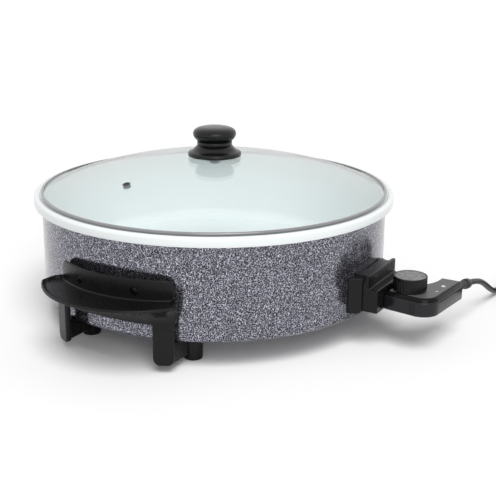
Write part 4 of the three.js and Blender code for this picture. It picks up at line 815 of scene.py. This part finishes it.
def support_parts(side):
    """Leg, brace and foot of one side, and the boss of its guard screw."""
    leg = leg_column()
    leg.transform(Matrix.Translation((LEG_X, side * LEG_Y, 0)) @ Matrix.Rotation(side * LEG_TURN, 4, "Z"))
    brace = prism(rounded_rect(FOOT_X, -BRACE_HALF, LEG_X, BRACE_HALF, 2.6), 9, 31)
    brace.transform(Matrix.Translation((0, side * (FOOT_Y + LEG_Y) / 2, 0)))
    foot_profile = (
        [(0, 0), (FOOT_RADIUS, 0)] + arc(FOOT_RADIUS, 2, 2, -90, 0, 4)
        + [(FOOT_RADIUS + 2, FOOT_TOP), (0, FOOT_TOP)])
    foot = lathe(foot_profile, 48, (FOOT_X, side * FOOT_Y))
    boss_end = guard_reach(GUARD_INNER, SCREW_Y) + 1
    boss = rod(BOSS_RADIUS, DRILL_FROM, boss_end, side * SCREW_Y, SCREW_Z)
    return [leg, brace, foot, boss]


def handle_cuts(side):
    """What one side loses: the tray's rounded end, and the holes of its two screws."""
    end_cut = [(x, y * side) for x, y in TRAY_END] + [(209, 100 * side), (169, 100 * side)]
    head_seat = guard_reach(GUARD_INNER, SCREW_Y + BOSS_RADIUS) + 1.3
    foot_spot = (FOOT_X, side * FOOT_Y)
    return [
        prism(end_cut, 45, 90),
        rod(HEAD_BORE, head_seat, DRILL_TO, side * SCREW_Y, SCREW_Z),
        rod(SCREW_BORE, DRILL_FROM, DRILL_TO, side * SCREW_Y, SCREW_Z),
        post(HEAD_BORE, -5, 14, 32, foot_spot),
        post(SCREW_BORE, 5, 40, 24, foot_spot)]


def make_handle():
    hollow = ring_solid([tray_section(y, True) for y in spread(75, 96)], "caps")
    end_stations = [74.6, 76, 77.5, 79, 80.2, 81.2, 82, 82.6, 83.1, 83.4, TRAY_HALF]
    ends = [ring_solid([tray_section(side * y, False) for y in end_stations], "caps") for side in (-1, 1)]
    turns = (12, 24, 36, 48, 60, 72, 81, 87)
    rounds = [GUARD_HALF + GUARD_ROUND * math.sin(math.radians(a)) for a in turns]
    stations = [-y for y in reversed(rounds)] + spread(GUARD_HALF, 70) + rounds
    guard = ring_solid([guard_section(y) for y in stations], "caps")
    parts = [hollow, *ends, guard, *support_parts(-1), *support_parts(1)]
    obj = as_object(joined(*parts), "handle_moulding")
    mould(obj, voxel=0.7, smoothing=4, keep=0.25)
    # The space that the shell takes up, with a little play
    shell_room = [(0, 31.5), (190, 31.5), (190, 30.2), (203.5, 30.2), (203.5, 160), (0, 160)]
    carve(obj, [lathe(shell_room, WIDE_ROUND), *handle_cuts(1), *handle_cuts(-1)])
    return obj


handle_right = make_handle()
handle_left = copy_of(handle_right, "handle_moulding_left")
handle_right.name = "handle_moulding_right"
settle(handle_right, "base", BAKELITE, ["handle_right"], "right", 40)
settle(handle_left, "base", BAKELITE, ["handle_left"], "left", 40)

# Screws and the center nut

ARM_MIDDLE = 280.0
PROBE_SCREWS = ((ARM_MIDDLE, -9), (ARM_MIDDLE, 44))
FOOT_SCREW_SEAT = 13.7
PROBE_SCREW_SEAT = 43.8
NUT_RADIUS = 5.5
NUT_LOW, NUT_TOP = 28.7, 33.2


def screw_mesh(shank, head, head_height, length):
    """A pan-head screw with a cross recess; the head's underside is at zero, the shank runs to -length."""
    bm = lathe([
        (0, -length), (shank * 0.55, -length), (shank, -length + 1.6), (shank, 0), (head, 0),
        (head, head_height * 0.45), (head * 0.93, head_height * 0.75), (head * 0.7, head_height * 0.94),
        (0, head_height)], 32)
    obj = as_object(bm, "screw")
    arm, wide = head * 0.58, head * 0.13
    tools = [prism([(-a, -b), (a, -b), (a, b), (-a, b)], head_height * 0.35, head_height + 1)
             for a, b in ((arm, wide), (wide, arm))]
    carve(obj, tools)
    return obj


def place_screw(master, name, node, matrix, frame_name, body="base", material=DARK_STEEL):
    obj = copy_of(master, name)
    settle(obj, body, material, [node], angle=40, matrix=row(frame_name) @ matrix)


side_screw = screw_mesh(shank=2.0, head=4.0, head_height=2.2, length=12.4)
foot_screw = screw_mesh(shank=2.0, head=4.0, head_height=2.2, length=23.4)
probe_screw = screw_mesh(shank=1.5, head=2.6, head_height=0.7, length=17.5)
screw_seat = guard_reach(GUARD_INNER, SCREW_Y + BOSS_RADIUS) + 1.6
for name in ("right", "left"):
    for index, side in enumerate((-1, 1)):
        place_screw(side_screw, f"guard_screw_{name}_{index + 1}", f"handle_screw_{name}_{index + 1}",
                    Matrix.Translation((screw_seat, side * SCREW_Y, SCREW_Z)) @ OUTWARD, name)
        place_screw(foot_screw, f"leg_screw_{name}_{index + 1}", f"foot_screw_{name}_{index + 1}",
                    Matrix.Translation((FOOT_X, side * FOOT_Y, FOOT_SCREW_SEAT)) @ DOWNWARD, name)
for index, spot in enumerate(PROBE_SCREWS):
    place_screw(probe_screw, f"probe_case_screw_{index + 1}", f"probe_screw_{index + 1}",
                Matrix.Translation((*spot, PROBE_SCREW_SEAT)) @ DOWNWARD, "inlet", "probe", STEEL)
for master in (side_screw, foot_screw, probe_screw):
    remove(master)

nut = as_object(prism(arc(0, 0, NUT_RADIUS, 0, 300, 5), NUT_LOW, NUT_TOP), "center_hex_nut")
change = nut.modifiers.new("edge", "BEVEL")
change.width = 0.5
change.segments = 2
bake(nut)
carve(nut, [post(3.3, 20, 40)])
settle(nut, "base", STEEL, ["center_nut"])

# Inlet bracket


def make_bracket():
    """The CAD node's own shape as a moulding with softened edges."""
    obj = copy_of(frame["nodes"]["inlet_bracket"], "inlet_moulding")
    obj.data.transform(Matrix.Scale(1 / MM, 4))
    mould(obj, voxel=0.6, smoothing=9, keep=0.3)
    obj.data.transform(Matrix.Scale(MM, 4))
    return obj


settle(make_bracket(), "base", BAKELITE, ["inlet_bracket"], angle=40,
       matrix=Matrix.Identity(4))

# Probe: a case that starts at the socket, turns at the elbow and ends in the arm that holds the cord

PROBE_FACE = 230.4
PROBE_HALF = 19
PROBE_FLARE = 5.5
ELBOW = 268.5
ELBOW_ROUND = 20
ARM_OUTER = 294.0
ARM_INNER = 266.0
ARM_END = 59
ARM_ROUND = 5
COVER_TOP = 64.0
DIAL_X = 252.0
DIAL_AXIS = (DIAL_X, 0)
SHAFT_BORE, LAMP_BORE = 3.4, 2.9
LAMP = (ARM_MIDDLE, 29)
GROOVES = (261.5, 264.0, 266.5)
GROOVE_WIDE = 0.9
GROOVE_DEEP = 0.6

# Inset and height of the outlines that the case and its cover are built through
HOUSING_SKIN = [
    (1.5, 43.0), (0.8, 43.25), (0.3, 43.8), (0.05, 44.6), (0, 45.5), (0, 56.6), (0.06, 57.6), (0.22, 58.4),
    (0.45, 59.1), (0.7, 59.6), (0.85, 59.7)]
COVER_SKIN = [
    (1.2, 60.0), (0.95, 60.15), (1.15, 60.9), (1.45, 61.7), (1.85, 62.4), (2.35, 63.0), (2.9, 63.5),
    (3.5, 63.85), (4.1, COVER_TOP)]


def bezier(p0, p1, p2, p3, steps):
    points = []
    for i in range(1, steps + 1):
        t = i / steps
        s = 1 - t
        points.append(tuple(
            s ** 3 * a + 3 * s * s * t * b + 3 * s * t * t * c + t ** 3 * d
            for a, b, c, d in zip(p0, p1, p2, p3)))
    return points


def probe_outline(inset):
    """The probe's outline in plan, drawn in by the inset."""
    outer, inner, end = ARM_OUTER - inset, ARM_INNER + inset, ARM_END - inset
    end_round = max(ARM_ROUND - inset, 1)
    far_side, face = PROBE_HALF + PROBE_FLARE / 2 - inset, PROBE_FACE + inset
    points = [(face, -PROBE_HALF + inset), (ELBOW, -PROBE_HALF - PROBE_FLARE + inset)]
    points += arc(ELBOW, ELBOW_ROUND - PROBE_HALF - PROBE_FLARE, ELBOW_ROUND - inset, -90, 0, 16)[1:]
    points += arc(outer - end_round, end - end_round, end_round, 0, 90, 6)
    points += arc(inner + end_round, end - end_round, end_round, 90, 180, 6)
    points += bezier(
        (inner, end - end_round), (inner, mix(far_side, end, 0.45)), (mix(face, inner, 0.7), far_side),
        (mix(face, inner, 0.35), far_side), 18)
    points.append((face, PROBE_HALF - inset))
    return points


def skin(levels, name):
    rings = [[(x, y, z) for x, y in probe_outline(inset)] for inset, z in levels]
    return as_object(ring_solid(rings, "caps"), name)


def make_housing():
    """The lower case: hollow, open at the socket, with screw holes, the cord's hole and three grooves."""
    obj = skin(HOUSING_SKIN, "probe_case")
    cord_hole = post(4.6, -8, 6)
    cord_hole.transform(along(RELIEF_START, RELIEF_DIRECTION))
    tools = [
        prism(probe_outline(2.6), 45.2, 66),
        prism([(225, -16.6), (235, -16.6), (235, 16.6), (225, 16.6)], 46.4, 59.3),
        cord_hole]
    for spot in PROBE_SCREWS:
        tools.append(post(2.9, 40, 44.1, 24, spot))
        tools.append(post(1.8, 40, 60, 24, spot))
    for near in GROOVES:
        far = near + GROOVE_WIDE
        deep = -PROBE_HALF - PROBE_FLARE * (near - PROBE_FACE) / (ELBOW - PROBE_FACE) + GROOVE_DEEP
        tools.append(prism([(near, -30), (far, -30), (far, deep), (near, deep)], 44.6, 58))
    carve(obj, tools)
    return obj


def make_cover():
    """The upper case, glossy at its rounded edge and matt on its flat top, where a lighter grey is painted
    light from above.
    """
    obj = skin(COVER_SKIN, "probe_cover_skin")
    carve(obj, [
        prism(probe_outline(4.2), 55, 61.8), post(SHAFT_BORE, 50, 70, 32, DIAL_AXIS),
        post(LAMP_BORE, 50, 70, 32, LAMP)])
    settle(obj, "probe", PROBE_GLOSS, ["probe_cover"], "inlet", 30)
    obj.data.materials.append(PROBE_TOP_PAINTED_LIGHT)
    # Faces pointing up get the lighter grey: painted light from above on the black cover
    for face in obj.data.polygons:
        if face.normal.z > 0.999 and face.center.z > (COVER_TOP - 0.5) * MM:
            face.material_index = 1
            face.use_smooth = False


settle(make_housing(), "probe", PROBE_CASE, ["probe_housing"], "inlet", 40)
make_cover()

# Dial, its scale and its pointer

DIAL_LOW = 64.3
DIAL_HIGH = 80.6
DISC_TOP = 80.45
FLUTES = 40
FLUTE_DEPTH = 0.55
DIAL_POINTS = FLUTES * 8
# Radius, height and share of the flutes' depth, from the underside over the grip to the sunk top
DIAL_ROWS = [
    (0.0, DIAL_LOW, 0), (17.9, DIAL_LOW, 0), (18.4, DIAL_LOW + 0.3, 0), (18.5, DIAL_LOW + 1.4, 0),
    (18.2, DIAL_LOW + 1.7, 0.2), (18.6, DIAL_LOW + 2.1, 1), (18.65, DIAL_HIGH - 3.1, 1),
    (18.3, DIAL_HIGH - 2.7, 0.2), (18.3, DIAL_HIGH - 2.2, 0), (18.7, DIAL_HIGH - 1.9, 0),
    (18.7, DIAL_HIGH - 0.6, 0), (18.45, DIAL_HIGH - 0.15, 0), (18.1, DIAL_HIGH, 0), (17.3, DIAL_HIGH, 0),
    (16.95, DIAL_HIGH - 0.2, 0), (16.9, DIAL_HIGH - 1.1, 0), (0.0, DIAL_HIGH - 1.1, 0)]
LABELS = ("OFF", "150", "200", "250", "300", "350", "400")
LABEL_SIZE = 4.3
LABEL_RADIUS = 12.4
# The fixed pointer's direction from the dial's center: OFF faces it at rest, and 400 at the turn's end
POINTER_ANGLE = 19
LABEL_STEP = 45
TICKS_PER_LABEL = 6
TICK_END = 16.0
INK_LOW, INK_TOP = DISC_TOP - 0.02, DISC_TOP + 0.03


def make_dial():
    rings = []
    for radius, z, depth in DIAL_ROWS:
        if radius == 0:
            rings.append([(DIAL_X, 0, z)])
            continue
        ring = []
        for i in range(DIAL_POINTS):
            angle = 2 * math.pi * i / DIAL_POINTS
            dip = FLUTE_DEPTH * depth * (0.5 - 0.5 * math.cos(FLUTES * angle)) ** 0.6
            ring.append((DIAL_X + (radius - dip) * math.cos(angle), (radius - dip) * math.sin(angle), z))
        rings.append(ring)
    obj = as_object(ring_solid(rings), "dial_grip")
    carve(obj, [post(3.3, 60, 74.6, 32, DIAL_AXIS)])
    return obj


def turned_mark(bm, angle):
    """A mark that was made round the origin, turned by the angle round the dial's center."""
    bm.transform(Matrix.Translation((DIAL_X, 0, 0)) @ Matrix.Rotation(angle, 4, "Z"))
    return bm


def dial_label(label, angle):
    text = bpy.data.curves.new("mark", "FONT")
    text.body = label
    text.size = LABEL_SIZE
    text.align_x = "CENTER"
    text.align_y = "CENTER"
    text.extrude = 0.03
    text.resolution_u = 3
    obj = bpy.data.objects.new("mark", text)
    bpy.context.scene.collection.objects.link(obj)
    bpy.context.view_layer.update()
    mesh = bpy.data.meshes.new_from_object(obj.evaluated_get(bpy.context.evaluated_depsgraph_get()))
    bpy.data.objects.remove(obj)
    made = bmesh.new()
    made.from_mesh(mesh)
    bpy.data.meshes.remove(mesh)
    spot = (DIAL_X + LABEL_RADIUS * math.cos(angle), LABEL_RADIUS * math.sin(angle), DISC_TOP)
    made.transform(Matrix.Translation(spot) @ Matrix.Rotation(angle - math.pi / 2, 4, "Z"))
    return made


def make_dial_scale():
    """The labels, a tick at each label and five between two of them, and a ring round the middle."""
    parts = []
    for index, label in enumerate(LABELS):
        parts.append(dial_label(label, math.radians(POINTER_ANGLE + LABEL_STEP * index)))
    for index in range((len(LABELS) - 1) * TICKS_PER_LABEL + 1):
        near, wide = (15.0, 0.16) if index % TICKS_PER_LABEL else (14.6, 0.3)
        tick = prism([(near, -wide), (TICK_END, -wide), (TICK_END, wide), (near, wide)], INK_LOW, INK_TOP)
        parts.append(turned_mark(tick, math.radians(POINTER_ANGLE + LABEL_STEP * index / TICKS_PER_LABEL)))
    parts.append(lathe([(6.5, INK_LOW), (7.2, INK_LOW), (7.2, INK_TOP), (6.5, INK_TOP)], 64, DIAL_AXIS))
    return as_object(joined(*parts), "dial_scale")


settle(make_dial(), "dial", BAKELITE, ["dial_knob"], "inlet", 30)

disc_profile = [(0, 79.7), (16.5, 79.7), (16.6, 79.8), (16.6, 80.3), (16.45, DISC_TOP), (0, DISC_TOP)]
face_disc = as_object(lathe(disc_profile, 96, DIAL_AXIS), "dial_disc")
settle(face_disc, "dial", DIAL_GREY, ["dial_face"], "inlet")

settle(make_dial_scale(), "dial", MARK_DARK, frame_name="inlet")

pointer_outline = [(27.2, -0.3), (31.0, -1.2), (31.0, 1.2), (27.2, 0.3)]
pointer_mesh = prism(pointer_outline, COVER_TOP - 0.05, COVER_TOP + 0.05)
pointer = as_object(turned_mark(pointer_mesh, math.radians(POINTER_ANGLE)), "dial_pointer")
settle(pointer, "probe", MARK_WHITE, frame_name="inlet")

lens_profile = (
    [(0, 58.9), (3.5, 58.9), (3.5, 61.1), (2.55, 61.1), (2.55, 63.9)] + arc(1.75, 63.9, 0.8, 0, 70, 4)
    + [(1.0, 64.85), (0, 64.9)])
lens = as_object(lathe(lens_profile, 32, LAMP), "lamp_window")
settle(lens, "probe", LENS, ["lamp_lens"], "inlet")

# Strain relief, with seven ribs, a neck and a collar

RIB_COUNT = 7
RIB_PITCH = 4.4

relief_profile = [(0, -6.7), (5.3, -6.7), (5.3, -4.7), (4.1, -4.7), (4.1, 1.5), (5.3, 1.5), (5.5, 1.9)]
for index in range(RIB_COUNT):
    start = 3.0 + index * RIB_PITCH
    outer = mix(5.5, 4.9, index / RIB_COUNT)
    relief_profile += [
        (outer, start), (outer, start + 2.3), (outer - 1.1, start + 2.8), (outer - 1.1, start + 3.9)]
relief_profile += [
    (4.8, 34.6), (4.8, 36.0), (5.8, 36.3), (6.05, 36.8), (6.1, 40.0), (6.0, 44.2), (5.6, 45.0), (5.0, 46.6),
    (4.5, 48.6), (4.0, 49.7), (3.6, RELIEF_LENGTH), (0, RELIEF_LENGTH)]
relief = as_object(lathe(relief_profile, 48), "cord_boot")
relief.data.transform(along(RELIEF_START, RELIEF_DIRECTION))
settle(relief, "probe", CORD, ["strain_relief"], "inlet")

# Plug

PLUG_PLACE = along(PLUG_START, Vector((-1, 0, 0)))
PIN_OFF = 9.5
PIN_RADIUS = 2.4

plug_profile = [
    (0, 0), (3.8, 0), (4.2, 0.8), (5.6, 6), (6.4, 12), (7.4, 15.5), (9.6, 19), (12.2, 22.5), (14.4, 26.5),
    (15.8, 31), (16.8, 36), (17.2, 39), (17.9, 39.8), (18.0, 40.6), (18.0, 50.8), (17.6, 51.6), (16.8, 52),
    (0, 52)]
plug = as_object(lathe(plug_profile, 64), "plug_moulding")
carve(plug, [post(PIN_RADIUS + 0.3, 44, 60, 24, (0, side * PIN_OFF)) for side in (-1, 1)])
plug.data.transform(PLUG_PLACE)
settle(plug, "probe", CORD, ["plug_body"])
pin_profile = (
    [(0, 44.3), (PIN_RADIUS, 44.3), (PIN_RADIUS, 68.8)] + arc(0.9, 69.5, 1.5, 0, 90, 5) + [(0, 71)])
for index, side in enumerate((-1, 1)):
    pin = as_object(lathe(pin_profile, 24, (0, side * PIN_OFF)), f"plug_prong_{index + 1}")
    pin.data.transform(PLUG_PLACE)
    settle(pin, "probe", BRASS, [f"plug_pin_{index + 1}"])

# Floor, world, lights

FLOOR_HALF = 6.0
FLOOR_DROP = 0.0002
FLOOR_LIT = (0.8, 0.8, 0.8, 1)
FLOOR_SHOWN = (1.1, 1.1, 1.1, 1)
WORLD_LIT, WORLD_SHOWN = 0.32, 1.0
WHITE = (1, 1, 1, 1)


def seen_rays(tree):
    """1 for camera, glossy and transmission rays, which show a background, and 0 for the others."""
    path = tree.nodes.new("ShaderNodeLightPath")
    first = tree.nodes.new("ShaderNodeMath")
    first.operation = "MAXIMUM"
    second = tree.nodes.new("ShaderNodeMath")
    second.operation = "MAXIMUM"
    tree.links.new(path.outputs["Is Camera Ray"], first.inputs[0])
    tree.links.new(path.outputs["Is Glossy Ray"], first.inputs[1])
    tree.links.new(first.outputs[0], second.inputs[0])
    tree.links.new(path.outputs["Is Transmission Ray"], second.inputs[1])
    return second.outputs[0]


def light_apart(tree, output_kind, shader_kind, lit, shown):
    """One shader for the light that reaches the object, and another for what is seen as background."""
    tree.nodes.clear()
    output = tree.nodes.new(output_kind)
    choose = tree.nodes.new("ShaderNodeMixShader")
    tree.links.new(seen_rays(tree), choose.inputs["Fac"])
    for index, values in enumerate((lit, shown)):
        shader = tree.nodes.new(shader_kind)
        for key, value in values.items():
            shader.inputs[key].default_value = value
        tree.links.new(shader.outputs[0], choose.inputs[index + 1])
    tree.links.new(choose.outputs[0], output.inputs["Surface"])


def make_floor():
    mesh = bpy.data.meshes.new("floor")
    corners = [(-FLOOR_HALF, -FLOOR_HALF, 0), (FLOOR_HALF, -FLOOR_HALF, 0), (FLOOR_HALF, FLOOR_HALF, 0),
               (-FLOOR_HALF, FLOOR_HALF, 0)]
    mesh.from_pydata(corners, [], [(0, 1, 2, 3)])
    obj = bpy.data.objects.new("floor", mesh)
    bpy.context.scene.collection.objects.link(obj)
    obj.location.z = -FLOOR_DROP
    material = bpy.data.materials.new("pale_floor")
    material.use_nodes = True
    light_apart(material.node_tree, "ShaderNodeOutputMaterial", "ShaderNodeBsdfDiffuse",
                {"Color": FLOOR_LIT}, {"Color": FLOOR_SHOWN})
    mesh.materials.append(material)
    return obj


def make_world():
    world = bpy.data.worlds.new("studio")
    bpy.context.scene.world = world
    world.use_nodes = True
    light_apart(world.node_tree, "ShaderNodeOutputWorld", "ShaderNodeBackground",
                {"Color": WHITE, "Strength": WORLD_LIT}, {"Color": WHITE, "Strength": WORLD_SHOWN})


def soft_sun(name, source, level, spread):
    """A distant softbox: level 1 lights a facing white surface to white."""
    data = bpy.data.lights.new(name, "SUN")
    data.energy = level * math.pi
    data.angle = math.radians(spread)
    light = bpy.data.objects.new(name, data)
    light.rotation_euler = Vector(source).to_track_quat("Z", "Y").to_euler()
    bpy.context.scene.collection.objects.link(light)
    return light


floor = make_floor()
make_world()
top_light = soft_sun("top_softbox", source=(-0.42, -0.36, 1.0), level=0.56, spread=36)
top_light.visible_glossy = False
soft_sun("front_softbox", source=(-0.9, -0.75, 0.6), level=0.28, spread=40)

bpy.context.scene.view_settings.view_transform = "Standard"
